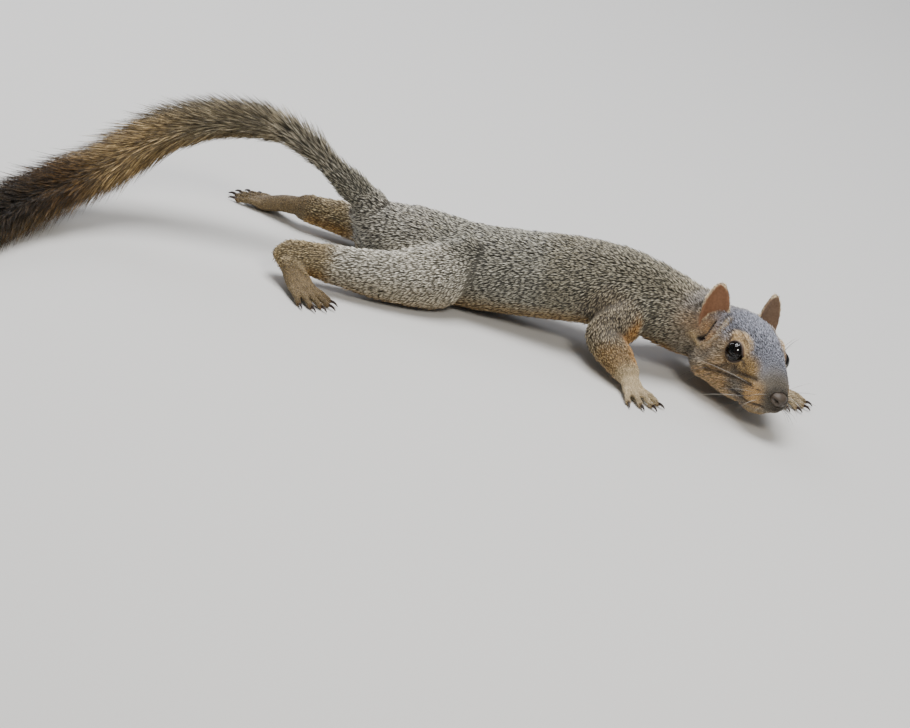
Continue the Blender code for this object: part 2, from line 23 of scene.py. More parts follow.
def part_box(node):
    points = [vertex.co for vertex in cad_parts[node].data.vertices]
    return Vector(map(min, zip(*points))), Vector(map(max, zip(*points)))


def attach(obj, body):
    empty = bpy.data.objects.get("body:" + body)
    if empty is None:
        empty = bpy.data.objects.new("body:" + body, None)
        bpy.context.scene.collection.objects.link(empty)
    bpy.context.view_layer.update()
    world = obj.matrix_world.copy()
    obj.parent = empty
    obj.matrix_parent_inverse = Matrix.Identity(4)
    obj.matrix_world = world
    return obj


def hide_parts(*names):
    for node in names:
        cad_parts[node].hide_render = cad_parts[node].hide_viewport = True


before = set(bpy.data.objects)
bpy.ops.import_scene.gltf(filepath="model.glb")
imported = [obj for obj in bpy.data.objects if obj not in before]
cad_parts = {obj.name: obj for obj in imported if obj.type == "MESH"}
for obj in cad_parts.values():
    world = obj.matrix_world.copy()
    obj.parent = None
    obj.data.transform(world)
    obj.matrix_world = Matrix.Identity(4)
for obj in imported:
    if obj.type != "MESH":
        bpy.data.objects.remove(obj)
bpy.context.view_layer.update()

MM = 0.001
BODY = "root"
WELD = 0.004  # corners of a solid nearer than this are one, in millimetres
FAR = 99.0  # stands for "nowhere near", in millimetres or degrees
log = logging.getLogger("squirrel")


class Side(Enum):
    """The animal's own left and right."""

    LEFT = 1
    RIGHT = -1

    @property
    def word(self) -> str:
        """The side's name in the names of the solids."""
        return self.name.lower()


def paint(code: str) -> tuple[float, float, float, float]:
    """Turns an sRGB hex value into linear colour.

    Args:
        code: Six hex digits.

    Returns:
        Red, green, blue and a full alpha.
    """
    parts = [int(code[i : i + 2], 16) / 255 for i in (0, 2, 4)]
    return (*(p / 12.92 if p <= 0.04045 else ((p + 0.055) / 1.055) ** 2.4 for p in parts), 1.0)


def feed(node: bpy.types.Node, inputs: dict) -> None:
    """Sets a node's inputs.

    Args:
        node: The node.
        inputs: Input name or number, to a value or to the socket that feeds it.
    """
    for key, value in inputs.items():
        if isinstance(value, bpy.types.NodeSocket):
            node.id_data.links.new(value, node.inputs[key])
        else:
            node.inputs[key].default_value = value


def add_node(
    tree: bpy.types.NodeTree, kind: str, inputs: dict | None = None, **settings: str
) -> bpy.types.Node:
    """Adds a node, with its settings, its input values and the links into it.

    Args:
        tree: The tree it goes into.
        kind: The node's type.
        inputs: Input name or number, to a value or to the socket that feeds it.
        **settings: The node's own properties.

    Returns:
        The new node.
    """
    node = tree.nodes.new(kind)
    for name, value in settings.items():
        setattr(node, name, value)
    feed(node, inputs or {})
    return node


@dataclass(frozen=True)
class Line:
    """A line on the head's left side, in the head's own frame, and mirrored on its right.

    Lengths are in millimetres. A mask along it has faded to a third at width. The line is laid on
    the head's side, so only the share sideways of a gap across the head counts. Each stretch
    between two corners is measured at that many samples.
    """

    corners: tuple[tuple[float, float, float], ...]
    width: float
    sideways: float = 0.3
    samples: int = 16

    def mask(self, places: np.ndarray) -> np.ndarray:
        """A soft mask along the line.

        Args:
            places: Points in the head's frame, in millimetres.

        Returns:
            The mask, 1 on the line.
        """
        mirrored = places * np.array([1, 0, 1]) + np.abs(places) * np.array([0, 1, 0])
        margin = 3 * self.width
        low, high = np.min(self.corners, axis=0) - margin, np.max(self.corners, axis=0) + margin
        near = np.flatnonzero(((mirrored > low) & (mirrored < high)).all(axis=1))
        ends = zip(self.corners, self.corners[1:])
        dense = np.vstack([np.linspace(a, b, self.samples) for a, b in ends])
        away = (mirrored[near][:, None] - dense[None]) * np.array([1, self.sideways, 1])
        mask = np.zeros(len(places))
        mask[near] = np.exp(-((np.linalg.norm(away, axis=2).min(axis=1) / self.width) ** 2))
        return mask


MOUTH = Line(
    (
        (57, 0, -7.0), (54, 4.2, -8.0), (49, 7.8, -9.2),
        (43, 9.8, -10.2), (36, 10.6, -10.8), (32.5, 10.8, -10.4),
    ),
    0.8,
)
CLEFT = Line(((59.6, 0, -4.8), (58.4, 0, -6.2), (57, 0, -7.4)), 0.6)
TEAR = Line(((31.5, 12.9, 5.4), (33.8, 12.5, 4.8), (36.4, 11.6, 4.3)), 1.1)
UPPER_FOLD = Line(((20, 16.6, -5.6), (31, 13.9, -1.9), (40, 11.4, 0.8), (46, 9.2, 2.4)), 1.1)
LOWER_FOLD = Line(((16, 17.2, -9.6), (25.4, 14.8, -6.2), (39.1, 11.7, -2.6), (45, 10.6, -1.4)), 1.1)
EAR_SLIT = Line(
    ((5.0, 17.6, 12.0), (5.4, 18.4, 9.0), (6.0, 19.0, 6.0), (5.6, 19.6, 3.0), (3.0, 20.2, 0.4)), 1.4
)
EAR_RIDGE = Line(
    (
        (11.0, 13.4, 16.2), (13.0, 14.4, 14.2), (14.5, 16.2, 11.0), (14.8, 17.9, 7.0), (12.8, 19.4, 2.6),
        (9.2, 20.4, -0.8), (5.4, 20.8, -2.2), (2.0, 21.0, -1.2), (0.2, 21.2, 1.6),
    ),
    1.25,
)
EAR_BASE = Line(((4, 18, 8), (10, 18, 5)), 6.0)


def smooth_step(values: np.ndarray | float, low: float, high: float) -> np.ndarray | float:
    """Rises softly from 0 at low to 1 at high; falls where high is the lower of the two."""
    share = np.clip((values - low) / (high - low), 0, 1)
    return share * share * (3 - 2 * share)


def unit(rows: np.ndarray) -> np.ndarray:
    """Each row at length 1."""
    return rows / np.maximum(np.linalg.norm(rows, axis=-1, keepdims=True), 1e-9)


@dataclass(frozen=True)
class LidShape:
    """The lids' edge in degrees from the eye's axis: an almond with its corner at the nose.

    Each corner has how far it stretches, its direction round the axis in degrees and its width in
    radians. droop is how far both lids hang.
    """

    opening: float = 63.0
    droop: float = 2.0
    corners: tuple[tuple[float, float, float], ...] = ((24.0, 352, 0.30), (5.0, 170, 0.45))

    def edge(self, turn: np.ndarray | float) -> np.ndarray | float:
        """The edge in each direction round the axis.

        Args:
            turn: The direction, in radians from the nose and upwards.

        Returns:
            The angle from the axis, in degrees.
        """
        found = self.opening
        for stretch, middle, width in self.corners:
            gap = (turn - math.radians(middle) + math.pi) % (2 * math.pi) - math.pi
            found = found + stretch * np.exp(-((gap / width) ** 2))
        return found - self.droop * np.sin(turn)


def linked(name: str, data: bpy.types.ID) -> bpy.types.Object:
    """A linked object at the origin that shows a mesh, a lamp or a camera.

    Args:
        name: The object's name.
        data: What it shows.

    Returns:
        The object.
    """
    made = bpy.data.objects.new(name, data)
    bpy.context.scene.collection.objects.link(made)
    return made


def settled(obj: bpy.types.Object) -> bpy.types.Object:
    """Turns what the object's modifiers give into its own plain mesh.

    Args:
        obj: The object with modifiers.

    Returns:
        The same object without them.
    """
    bpy.context.view_layer.update()
    graph = bpy.context.evaluated_depsgraph_get()
    mesh = bpy.data.meshes.new_from_object(obj.evaluated_get(graph))
    obj.modifiers.clear()
    old, obj.data = obj.data, mesh
    bpy.data.meshes.remove(old)
    return obj


def weave(bm: bmesh.types.BMesh, rows: list[list[bmesh.types.BMVert]], around: bool = False) -> None:
    """Lays four-sided faces between rows of corners that are each a closed ring.

    Args:
        bm: The bmesh that holds them.
        rows: The rings, all with the same number of corners.
        around: Whether the last row joins the first again.
    """
    for one, two in zip(rows, rows[1:] + rows[:1] if around else rows[1:]):
        for k, ahead in enumerate([*range(1, len(one)), 0]):
            bm.faces.new((one[k], one[ahead], two[ahead], two[k]))


def cap(bm: bmesh.types.BMesh, row: list[bmesh.types.BMVert], tip: bmesh.types.BMVert) -> None:
    """Closes a ring of corners with triangles that meet in a point."""
    for k, ahead in enumerate([*range(1, len(row)), 0]):
        bm.faces.new((row[k], row[ahead], tip))


def smooth_mesh(bm: bmesh.types.BMesh, name: str) -> bpy.types.Mesh:
    """Turns a bmesh into a smooth mesh whose faces look outwards, and frees it.

    Args:
        bm: The bmesh.
        name: The mesh's name.

    Returns:
        The mesh.
    """
    bmesh.ops.recalc_face_normals(bm, faces=bm.faces)
    mesh = bpy.data.meshes.new(name)
    bm.to_mesh(mesh)
    bm.free()
    mesh.shade_smooth()
    return mesh


def merged_copy(name: str, swell: float = 0.0) -> bmesh.types.BMesh:
    """A solid's mesh with its loose triangles joined.

    Args:
        name: The solid.
        swell: How far its surface moves outwards, in millimetres.

    Returns:
        A new bmesh in metres.
    """
    bm = bmesh.new()
    bm.from_mesh(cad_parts[name].data)
    bmesh.ops.remove_doubles(bm, verts=bm.verts, dist=WELD * MM)
    bm.normal_update()
    if swell:
        for vert in bm.verts:
            vert.co += vert.normal * swell * MM
    return bm


def gathered(name: str, solids: list[str], swell: float = 0.0) -> bpy.types.Object:
    """One linked object that holds merged copies of several solids.

    Args:
        name: The object's name.
        solids: The solids.
        swell: How far their surfaces move outwards, in millimetres.

    Returns:
        The object.
    """
    whole = bmesh.new()
    for solid in solids:
        part = merged_copy(solid, swell)
        mesh = bpy.data.meshes.new(solid)
        part.to_mesh(mesh)
        part.free()
        whole.from_mesh(mesh)
        bpy.data.meshes.remove(mesh)
    mesh = bpy.data.meshes.new(name)
    whole.to_mesh(mesh)
    whole.free()
    return linked(name, mesh)


def places_of(name: str) -> np.ndarray:
    """The corners of a solid, in millimetres."""
    return np.array([vert.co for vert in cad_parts[name].data.vertices]) / MM


def middle_of(name: str) -> np.ndarray:
    """The middle of a solid's box, in millimetres."""
    low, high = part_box(name)
    return np.array((low + high) / 2) / MM


def read(items: bpy.types.bpy_prop_collection, key: str, width: int, kind: type = float) -> np.ndarray:
    """Reads one property of all items of a collection.

    Args:
        items: The collection.
        key: The property.
        width: How many numbers it has.
        kind: The numbers' type.

    Returns:
        One row for each item.
    """
    flat = np.empty(len(items) * width, kind)
    items.foreach_get(key, flat)
    return flat.reshape(-1, width)


def put_attributes(mesh: bpy.types.Mesh, values: dict[str, np.ndarray]) -> None:
    """Stores values for the corner points of a mesh, in the order of the points.

    Args:
        mesh: The mesh.
        values: By name, one number, vector of three or colour of four for each point.
    """
    kinds = {1: ("FLOAT", "value"), 3: ("FLOAT_VECTOR", "vector"), 4: ("FLOAT_COLOR", "color")}
    for name, rows in values.items():
        kind, key = kinds[rows.size // len(rows)]
        made = mesh.attributes.new(name, kind, "POINT")
        made.data.foreach_set(key, np.ascontiguousarray(rows, np.float32).ravel())


def shown(obj: bpy.types.Object, slot: str, *solids: str) -> None:
    """Hangs a finished piece on the body, hides the solids it stands for and logs its triangles.

    Args:
        obj: The piece.
        slot: The record's material slot; not used.
        *solids: The solids it stands for.
    """
    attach(obj, BODY)
    if solids:
        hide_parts(*solids)
    obj.data.calc_loop_triangles()
    log.info("%s: %d triangles", obj.name, len(obj.data.loop_triangles))


@dataclass(frozen=True)
class Cover:
    """The hair of one part of the body.

    depth is how far the skin lies under the coat's outline and width is a tuft's breadth, both in
    millimetres. rise is the angle between hair and skin in degrees. dark and light are the two
    colours of its strands in sRGB hex.
    """

    depth: float
    rise: float
    width: float
    dark: str
    light: str


COVERS = {
    "head": Cover(1.3, 16, 0.46, "4F4738", "AEA28E"),
    "neck": Cover(2.0, 17, 0.52, "2C2820", "B8AF98"),
    "chest": Cover(2.0, 17, 0.58, "1F1D15", "A39C87"),
    "loin": Cover(1.9, 16, 0.60, "22201A", "B0AC9C"),
    "rump": Cover(2.0, 17, 0.58, "302C26", "BCB7A8"),
    "thigh": Cover(1.8, 16, 0.56, "645F50", "E2DDCE"),
    "shank": Cover(1.2, 15, 0.50, "5C4E33", "B5A27A"),
    "hind_foot": Cover(0.32, 13, 0.36, "4C3C24", "94805A"),
    "upper_arm": Cover(1.6, 16, 0.54, "32291B", "A3967C"),
    "forearm": Cover(1.0, 15, 0.48, "5E4520", "BC9F70"),
    "forepaw": Cover(0.30, 13, 0.34, "8E7B5A", "D2C19D"),
    "ear": Cover(0.18, 16, 0.28, "57503F", "A0967F"),
    "tail": Cover(3.0, 26, 0.34, "35332C", "A7A290"),
}


def kind_of(node: str) -> str:
    """The part of the body that a solid belongs to: its name without side and number."""
    return next((kind for kind in COVERS if node.startswith(kind)), "")


@dataclass
class Anatomy:
    """Places on the animal, worked out from its solids, in millimetres.

    The eyes stand eye_forward and eye_above from the head's own origin, and the nose lies nose_dip
    degrees below its forward axis. gaze is the way an eye looks in the head's frame. Corners of two
    solids that are nearer than seam belong to the cut between them.
    """

    eye_forward: float = 26.2
    eye_above: float = 6.6
    nose_dip: float = 15.9
    gaze: tuple[float, float, float] = (0.30, 0.93, 0.16)
    seam: float = 0.8
    lids: LidShape = LidShape()
    flesh: list[str] = field(init=False)
    claws: list[str] = field(init=False)

    def __post_init__(self) -> None:
        """Sorts the solids and finds the head's own axes."""
        names = sorted(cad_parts)
        self.claws = [name for name in names if name.startswith("claw")]
        self.flesh = [name for name in names if name not in self.claws and kind_of(name)]
        self.eyes = {side: middle_of(f"eye_{side.word}") for side in Side}
        low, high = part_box("eye_left")
        self.eye_radius = max(high - low) / 2 / MM
        self.nose = middle_of("nose")
        between = (self.eyes[Side.LEFT] + self.eyes[Side.RIGHT]) / 2
        left = unit(self.eyes[Side.LEFT] - self.eyes[Side.RIGHT])
        aim = self.nose - between
        aim = unit(aim - left * (aim @ left))
        dip = math.radians(self.nose_dip)
        forward = aim * math.cos(dip) + np.cross(aim, left) * math.sin(dip)
        self.axes = np.array([forward, left, np.cross(forward, left)])
        self.head_at = between - self.axes[0] * self.eye_forward - self.axes[2] * self.eye_above

    def in_head(self, points: np.ndarray) -> np.ndarray:
        """Places in the head's frame: forwards, to its left, and up."""
        return (points - self.head_at) @ self.axes.T

    def from_head(self, points: np.ndarray) -> np.ndarray:
        """Places of the head's frame in the row's."""
        return np.asarray(points) @ self.axes + self.head_at

    def gaze_axes(self, side: Side) -> np.ndarray:
        """The axes of an eye.

        Args:
            side: Which eye.

        Returns:
            Rows: the way it looks, then towards the nose, then up.
        """
        look = unit(np.array(self.gaze) * (1, side.value, 1)) @ self.axes
        nose = self.axes[0]
        nose = unit(nose - look * (nose @ look))
        return np.array([look, nose, np.cross(nose, look) * side.value])

    def beyond_lid(self, points: np.ndarray, side: Side) -> tuple[np.ndarray, np.ndarray]:
        """Where places are as seen from an eye.

        Args:
            points: The places.
            side: Which eye.

        Returns:
            How far they are from its middle, and how many degrees they are outside its lids.
        """
        away = points - self.eyes[side]
        reach = np.linalg.norm(away, axis=1)
        look, nose, up = self.gaze_axes(side) @ away.T
        return reach, np.degrees(np.arccos(look / reach)) - self.lids.edge(np.arctan2(up, nose))

    def joint(self, one: str, *others: str) -> np.ndarray:
        """The middle of the cut between one solid and others.

        Args:
            one: The solid.
            *others: Those it meets there.

        Returns:
            The place.
        """
        mine, theirs = places_of(one), np.vstack([places_of(other) for other in others])
        apart = np.linalg.norm(mine[:, None] - theirs[None], axis=2).min(axis=1)
        return mine[apart < max(self.seam, apart.min() + 0.2)].mean(axis=0)

    def tail_line(self, steps: int = 24) -> np.ndarray:
        """The tail's middle line from root to tip.

        Args:
            steps: How many places it has between two cuts.

        Returns:
            Places in a smooth row.
        """
        lengths = sorted(name for name in self.flesh if name.startswith("tail"))
        knots = [self.joint(one, two) for one, two in zip(["rump", *lengths], lengths)]
        last = places_of(lengths[-1])
        knots.append(last[np.linalg.norm(last - knots[-1], axis=1).argmax()])
        rows = np.array(knots)
        padded = np.vstack([2 * rows[0] - rows[1], rows, 2 * rows[-1] - rows[-2]])
        share = np.linspace(0, 1, steps, endpoint=False)[:, None]
        spans = []
        for a, b, c, d in zip(padded, padded[1:], padded[2:], padded[3:]):
            curve = 2 * b + (c - a) * share + (2 * a - 5 * b + 4 * c - d) * share**2
            spans.append(0.5 * (curve + (3 * b - a - 3 * c + d) * share**3))
        return np.vstack([*spans, rows[-1:]])

    def ways(self) -> dict[str, np.ndarray]:
        """The direction that each solid's hair lies in.

        Returns:
            A direction by the solid's name.
        """
        found = {name: np.array([-1.0, 0, 0]) for name in self.flesh}
        found["neck"] = unit(np.array([-0.93, 0.3, 0.0]))
        for side in Side:
            found[f"thigh_{side.word}"] = unit(np.array([-0.93, 0.2 * side.value, -0.3]))
            for chain in (("shank", "hind_foot"), ("upper_arm", "forearm", "forepaw")):
                names = [f"{part}_{side.word}" for part in chain]
                tip = np.mean([middle_of(claw) for claw in self.claws if names[-1] in claw], axis=0)
                before = ("chest", "neck") if chain[0] == "upper_arm" else (f"thigh_{side.word}",)
                knots = [self.joint(names[0], *before)]
                knots += [self.joint(one, two) for one, two in zip(names, names[1:])]
                knots.append(tip)
                for name, here, ahead in zip(names, knots, knots[1:]):
                    found[name] = unit(ahead - here)
        return found


class Surface:
    """A mesh of four-sided faces as arrays, in millimetres.

    An ironing pass moves each point by the share SMOOTH towards its neighbours' mean, and then by
    REGROW back, which keeps the size.
    """

    SMOOTH, REGROW = 0.55, 0.57

    def __init__(self, mesh: bpy.types.Mesh) -> None:
        """Reads the arrays of a mesh.

        Args:
            mesh: The mesh, in metres.
        """
        self.points = read(mesh.vertices, "co", 3) / MM
        self.faces = read(mesh.loops, "vertex_index", 1, int).reshape(-1, 4)
        self.pairs = read(mesh.edges, "vertices", 2, int)
        self.degree = np.bincount(self.pairs.ravel(), minlength=len(self.points))[:, None]

    def summed(self, index: np.ndarray, values: np.ndarray) -> np.ndarray:
        """Adds rows of values up at the points they belong to."""
        count = len(self.points)
        return np.stack([np.bincount(index, column, count) for column in values.T], axis=1)

    def round_about(self, values: np.ndarray) -> np.ndarray:
        """The mean of each point's neighbours."""
        one, two = self.pairs.T
        return (self.summed(one, values[two]) + self.summed(two, values[one])) / self.degree

    def spread(self, values: np.ndarray, times: int) -> np.ndarray:
        """Softens values over the surface.

        Args:
            values: One value or one row for each point.
            times: How often each takes on half of its neighbours' mean.

        Returns:
            The softened values.
        """
        flat = values.reshape(len(values), -1)
        for _ in range(times):
            flat = (flat + self.round_about(flat)) / 2
        return flat.reshape(values.shape)

    def iron(self, times: int, share: np.ndarray) -> None:
        """Takes small bumps out of the shape and keeps its size.

        Args:
            times: How many passes.
            share: How strongly, for each point.
        """
        for _ in range(times):
            for amount in (self.SMOOTH, -self.REGROW):
                step = self.round_about(self.points) - self.points
                self.points = self.points + step * (share[:, None] * amount)

    def normals(self) -> np.ndarray:
        """The outward direction at each point.

        Returns:
            A direction for each point.
        """
        a, b, c, d = (self.points[column] for column in self.faces.T)
        across = np.cross(c - a, d - b)
        return unit(sum(self.summed(column, across) for column in self.faces.T))

    def mesh(self, name: str, faces: np.ndarray | None = None) -> tuple[bpy.types.Mesh, np.ndarray]:
        """Makes a mesh of all or some of the faces.

        Args:
            name: The mesh's name.
            faces: Which faces; all of them if left out.

        Returns:
            The mesh, and the number of each of its points on this surface.
        """
        chosen = self.faces if faces is None else self.faces[faces]
        kept, renamed = np.unique(chosen, return_inverse=True)
        mesh = bpy.data.meshes.new(name)
        mesh.from_pydata((self.points[kept] * MM).tolist(), [], renamed.reshape(-1, 4).tolist())
        return mesh, kept


@dataclass
class Skin:
    """The one skin, inside the solids of flesh by the depth of the coat, and what the coat needs.

    Sizes are in millimetres. The solids swell before they are melted into voxels. blend_passes is
    how softly one part's coat passes into the next, and crisp_passes the same at the ears. The
    skin sinks in sink_steps. The tail's skin is a core that tapers to its tip, and tail_start is
    how long it takes to reach it. light_share is how many of its faces the skin's piece keeps.
    nose_at is where the hair of the face parts, in the head's frame. lid_depth is how deep the
    skin lies at the lids. Hair is at least shortest and at most longest. socket has degrees beyond
    the lids' edge, and how far from the ball the skin lies there at most.
    """

    anatomy: Anatomy
    voxel: float = 0.78
    swell: float = 0.24
    blend_passes: int = 70
    crisp_passes: int = 6
    sink_steps: int = 4
    tail_core: float = 3.4
    tail_tip_core: float = 1.6
    tail_start: float = 26.0
    floor_gap: float = 0.12
    light_share: float = 0.44
    nose_at: tuple[float, float, float] = (57.0, 0, -1.0)
    lid_depth: float = 0.35
    shortest: float = 1.1
    longest: float = 34.0
    socket: tuple[tuple[float, ...], ...] = ((0, 9, 16, 24, 34), (-1, -0.5, 0.25, 1.3, 6))

    def build(self) -> None:
        """Makes the surface and all its fields."""
        self.surface = self._melted()
        self._label()
        self._iron()
        self.outline = self.surface.points.copy()
        self._measure_ears()
        self._fields()
        self._sink()
        self._sculpt()
        self._open_sockets()
        self.out = self.surface.normals()
        self._lay()

    def _melted(self) -> Surface:
        """Joins swollen copies of the solids of flesh and melts them into one surface.

        Returns:
            The surface.
        """
        made = gathered("melted", self.anatomy.flesh, self.swell)
        melt = made.modifiers.new("melt", "REMESH")
        melt.mode = "VOXEL"
        melt.voxel_size = self.voxel * MM
        surface = Surface(settled(made).data)
        bpy.data.objects.remove(made)
        return surface

    def part(self, *kinds: str, times: int = 0) -> np.ndarray:
        """A mask over some parts of the body.

        Args:
            *kinds: The parts.
            times: How often it is softened.

        Returns:
            The mask, 1 on those parts.
        """
        numbers = [list(COVERS).index(kind) for kind in kinds]
        return self.surface.spread(np.isin(self.kind, numbers).astype(float), times)

    def _label(self) -> None:
        """Gives each point the solid that it lies on."""
        corners, triangles, owner = [], [], []
        for number, name in enumerate(self.anatomy.flesh):
            bm = merged_copy(name)
            bm.verts.ensure_lookup_table()
            start = len(corners)
            corners += [vert.co / MM for vert in bm.verts]
            triangles += [[start + vert.index for vert in face.verts] for face in bm.faces]
            owner += [number] * len(bm.faces)
            bm.free()
        tree = BVHTree.FromPolygons(corners, triangles)
        nearest = [tree.find_nearest(Vector(spot))[2] for spot in self.surface.points]
        self.label = np.array(owner)[nearest]
        kinds = [list(COVERS).index(kind_of(name)) for name in self.anatomy.flesh]
        self.kind = np.array(kinds)[self.label]

    def _iron(self) -> None:
        """Takes the facets and the steps of the melt out, least on feet and ears."""
        fine = self.part("ear", "forepaw", "hind_foot") > 0
        share = self.surface.spread(np.where(fine, 0.5, 1.0), 8)
        self.surface.iron(14, share)
        self.surface.iron(16, np.where(fine, 0.0, share))

    def _measure_ears(self, bins: int = 16) -> None:
        """Finds how near each point of an ear is to its rim, and the way each ear opens.

        Args:
            bins: How many heights an ear's breadth is measured at.
        """
        self.rim = np.zeros(len(self.label))
        self.opening = {}
        for side in Side:
            mine = np.flatnonzero(self.label == self.anatomy.flesh.index(f"ear_{side.word}"))
            spots = self.surface.points[mine]
            middle = spots.mean(axis=0)
            along, across, through = np.linalg.svd(spots - middle, full_matrices=False)[2]
            along = along * np.sign(along @ (middle - self.anatomy.head_at))
            self.opening[side] = through * np.sign(through @ self.anatomy.axes[0])
            height, aside = (spots - middle) @ along, (spots - middle) @ across
            height = (height - height.min()) / np.ptp(height)
            steps = np.linspace(0, 1, bins)
            rows = [aside[np.abs(height - step) < 0.6 / bins] for step in steps]
            low = np.interp(height, steps, [row.min() for row in rows])
            high = np.interp(height, steps, [row.max() for row in rows])
            edge = np.abs(2 * aside - low - high) / (high - low)
            rim = np.maximum(smooth_step(edge, 0.84, 0.97), smooth_step(height, 0.94, 0.99))
            self.rim[mine] = rim * smooth_step(height, 0.0, 0.15)

    def _fields(self) -> None:
        """Spreads each part's way of standing hair softly over the surface."""
        table = np.array([[cover.depth, cover.rise, cover.width] for cover in COVERS.values()])
        soft = self.surface.spread(table[self.kind], self.blend_passes)
        crisp = self.surface.spread(table[self.kind], self.crisp_passes)
        near_ear = self.part("ear", times=4)[:, None]
        self.depth, self.rise, self.width = (soft * (1 - near_ear) + crisp * near_ear).T.copy()
        self.head = self.anatomy.in_head(self.surface.points)
        self.in_head = self.part("head", times=12)
        muzzle = self.in_head * smooth_step(self.head[:, 0], 20, 50)
        self.depth *= 1 - 0.8 * muzzle
        self.width *= 1 - 0.3 * muzzle
        self.eye_gap = np.full(len(self.depth), FAR)
        for side in Side:
            reach = np.linalg.norm(self.surface.points - self.anatomy.eyes[side], axis=1)
            self.eye_gap = np.minimum(self.eye_gap, reach - self.anatomy.eye_radius)
        near = self.in_head * smooth_step(self.eye_gap, 7.0, 1.5)
        self.depth = self.depth * (1 - near) + self.lid_depth * near
        self.width *= 1 - 0.25 * near

    def _sink(self) -> None:
        """Moves the skin inwards: by the coat's depth, and on the tail onto a thin core."""
        line = self.anatomy.tail_line()
        gone = np.append(0, np.cumsum(np.linalg.norm(np.diff(line, axis=0), axis=1)))
        self.tail_length = gone[-1]
        tails = np.flatnonzero(self.part("tail", "rump"))
        self.along = np.zeros(len(self.depth))
        self.core = self.surface.points.copy()
        self.tail_way = np.tile([-1.0, 0, 0], (len(self.depth), 1))
        tangents = unit(np.gradient(line, axis=0))
        for chunk in np.array_split(tails, 40):  # in chunks, so that the table of gaps stays small
            spots = self.surface.points[chunk]
            nearest = np.linalg.norm(spots[:, None] - line[None], axis=2).argmin(axis=1)
            self.along[chunk] = gone[nearest]
            self.core[chunk] = line[nearest]
            self.tail_way[chunk] = tangents[nearest]
        self.on_tail = self.part("tail") * smooth_step(self.along, 0, self.tail_start)
        self.on_tail = self.surface.spread(self.on_tail, 20)
        for _ in range(self.sink_steps):
            step = self.depth * (1 - self.on_tail) / self.sink_steps
            self.surface.points = self.surface.points - self.surface.normals() * step[:, None]
            self.surface.iron(2, np.clip(self.depth / 2, 0, 1))
        share = self.along / self.tail_length
        wanted = self.tail_core + (self.tail_tip_core - self.tail_core) * share
        from_core = self.surface.points - self.core
        radius = np.linalg.norm(from_core, axis=1)
        slim = self.core + from_core * (wanted / np.maximum(radius, 1e-6))[:, None]
        weight = self.on_tail[:, None]
        self.surface.points = self.surface.points * (1 - weight) + slim * weight
        self.surface.iron(6, self.on_tail)
        self.surface.points[:, 2] = np.maximum(self.surface.points[:, 2], self.floor_gap)
        sunk = np.linalg.norm(self.outline - self.surface.points, axis=1)
        self.depth = np.where(self.on_tail > 0.02, sunk, self.depth)

    def _sculpt(self) -> None:
        """Adds the mouth, the cheek's folds, the groove under the nose and the ears' openings."""
        self.crease, self.tear, self.slit, self.fold = (
            np.maximum.reduce([line.mask(self.head) for line in lines])
            for lines in ((MOUTH, CLEFT), (TEAR,), (EAR_SLIT,), (LOWER_FOLD, UPPER_FOLD))
        )
        self.ridge = EAR_RIDGE.mask(self.head) * (1 - self.slit)
        dip = 0.55 * self.crease + 0.5 * self.tear + 0.5 * self.fold + 1.5 * self.slit
        dip = (dip + 1.2 * self._ear_hollow() - self.ridge) * (1 - 0.7 * self.part("ear"))
        self.surface.points = self.surface.points - self.surface.normals() * dip[:, None]
        near_slit = replace(EAR_SLIT, width=4.5).mask(self.head)
        self.short = np.maximum(0.4 * self.fold, 0.7 * near_slit)

    def _open_sockets(self) -> None:
        """Draws the skin back under each eye's lids, and marks the ring of short hair round them."""
        points, ball = self.surface.points, self.anatomy.eye_radius
        self.beyond_lid, self.ring = np.full(len(points), FAR), np.zeros(len(points))
        for side in Side:
            centre = self.anatomy.eyes[side]
            reach, beyond = self.anatomy.beyond_lid(points, side)
            most = ball + np.interp(beyond, *self.socket)
            near = reach < ball + 5
            ring = smooth_step(beyond, 50, 32) * smooth_step(reach, ball + 5.5, ball + 3.5)
            self.ring = np.maximum(self.ring, ring * self.in_head)
            share = np.where(near, np.minimum(1, most / reach), 1)[:, None]
            points = centre + (points - centre) * share
            self.beyond_lid = np.where(near, np.minimum(self.beyond_lid, beyond), self.beyond_lid)
        self.surface.points = points

    def _ear_hollow(self) -> np.ndarray:
        """A soft mask over each ear's opening on the side of the head.

        Returns:
            The mask.
        """
        forward, left, up = self.head.T
        away = (forward - 5.5) ** 2 / 14 + (up - 6.5) ** 2 / 42
        return 0.75 * np.exp(-away) * smooth_step(np.abs(left), 12, 16)

    def _lay(self) -> None:
        """Works out the lie of the hair, its length and how closely it stands."""
        self.lie = self._lie()
        angle = np.radians(self.rise)[:, None]
        self.way = unit(self.lie * np.cos(angle) + self.out * np.sin(angle))
        ears = self.part("ear")
        reach = np.clip(self.depth / np.sin(angle[:, 0]), self.shortest, self.longest)
        reach = np.where(ears, 1.3 + 0.8 * self.rim, reach) * (1 - 0.1 * self.part("tail"))
        self.reach = reach * (1 - 0.45 * self.ridge) * (1 - self.short)
        anatomy, points = self.anatomy, self.surface.points
        from_pad = np.linalg.norm(points - anatomy.nose, axis=1)
        inside = ears * (1 - self.rim) * smooth_step(self.facing(), -0.1, 0.2)
        sole, in_air = smooth_step(self.out[:, 2], -0.75, -0.35), smooth_step(points[:, 2], 0.2, 1.2)
        self.crowd = np.maximum(sole, in_air) * smooth_step(from_pad, 3.4, 5.0) * (1 - inside)
        self.crowd *= smooth_step(self.eye_gap, 0.25, 0.7) * smooth_step(self.beyond_lid, 9, 15)
        self.crowd *= (1 - smooth_step(self.slit, 0.25, 0.6)) * (1 - 0.9 * self.tear)

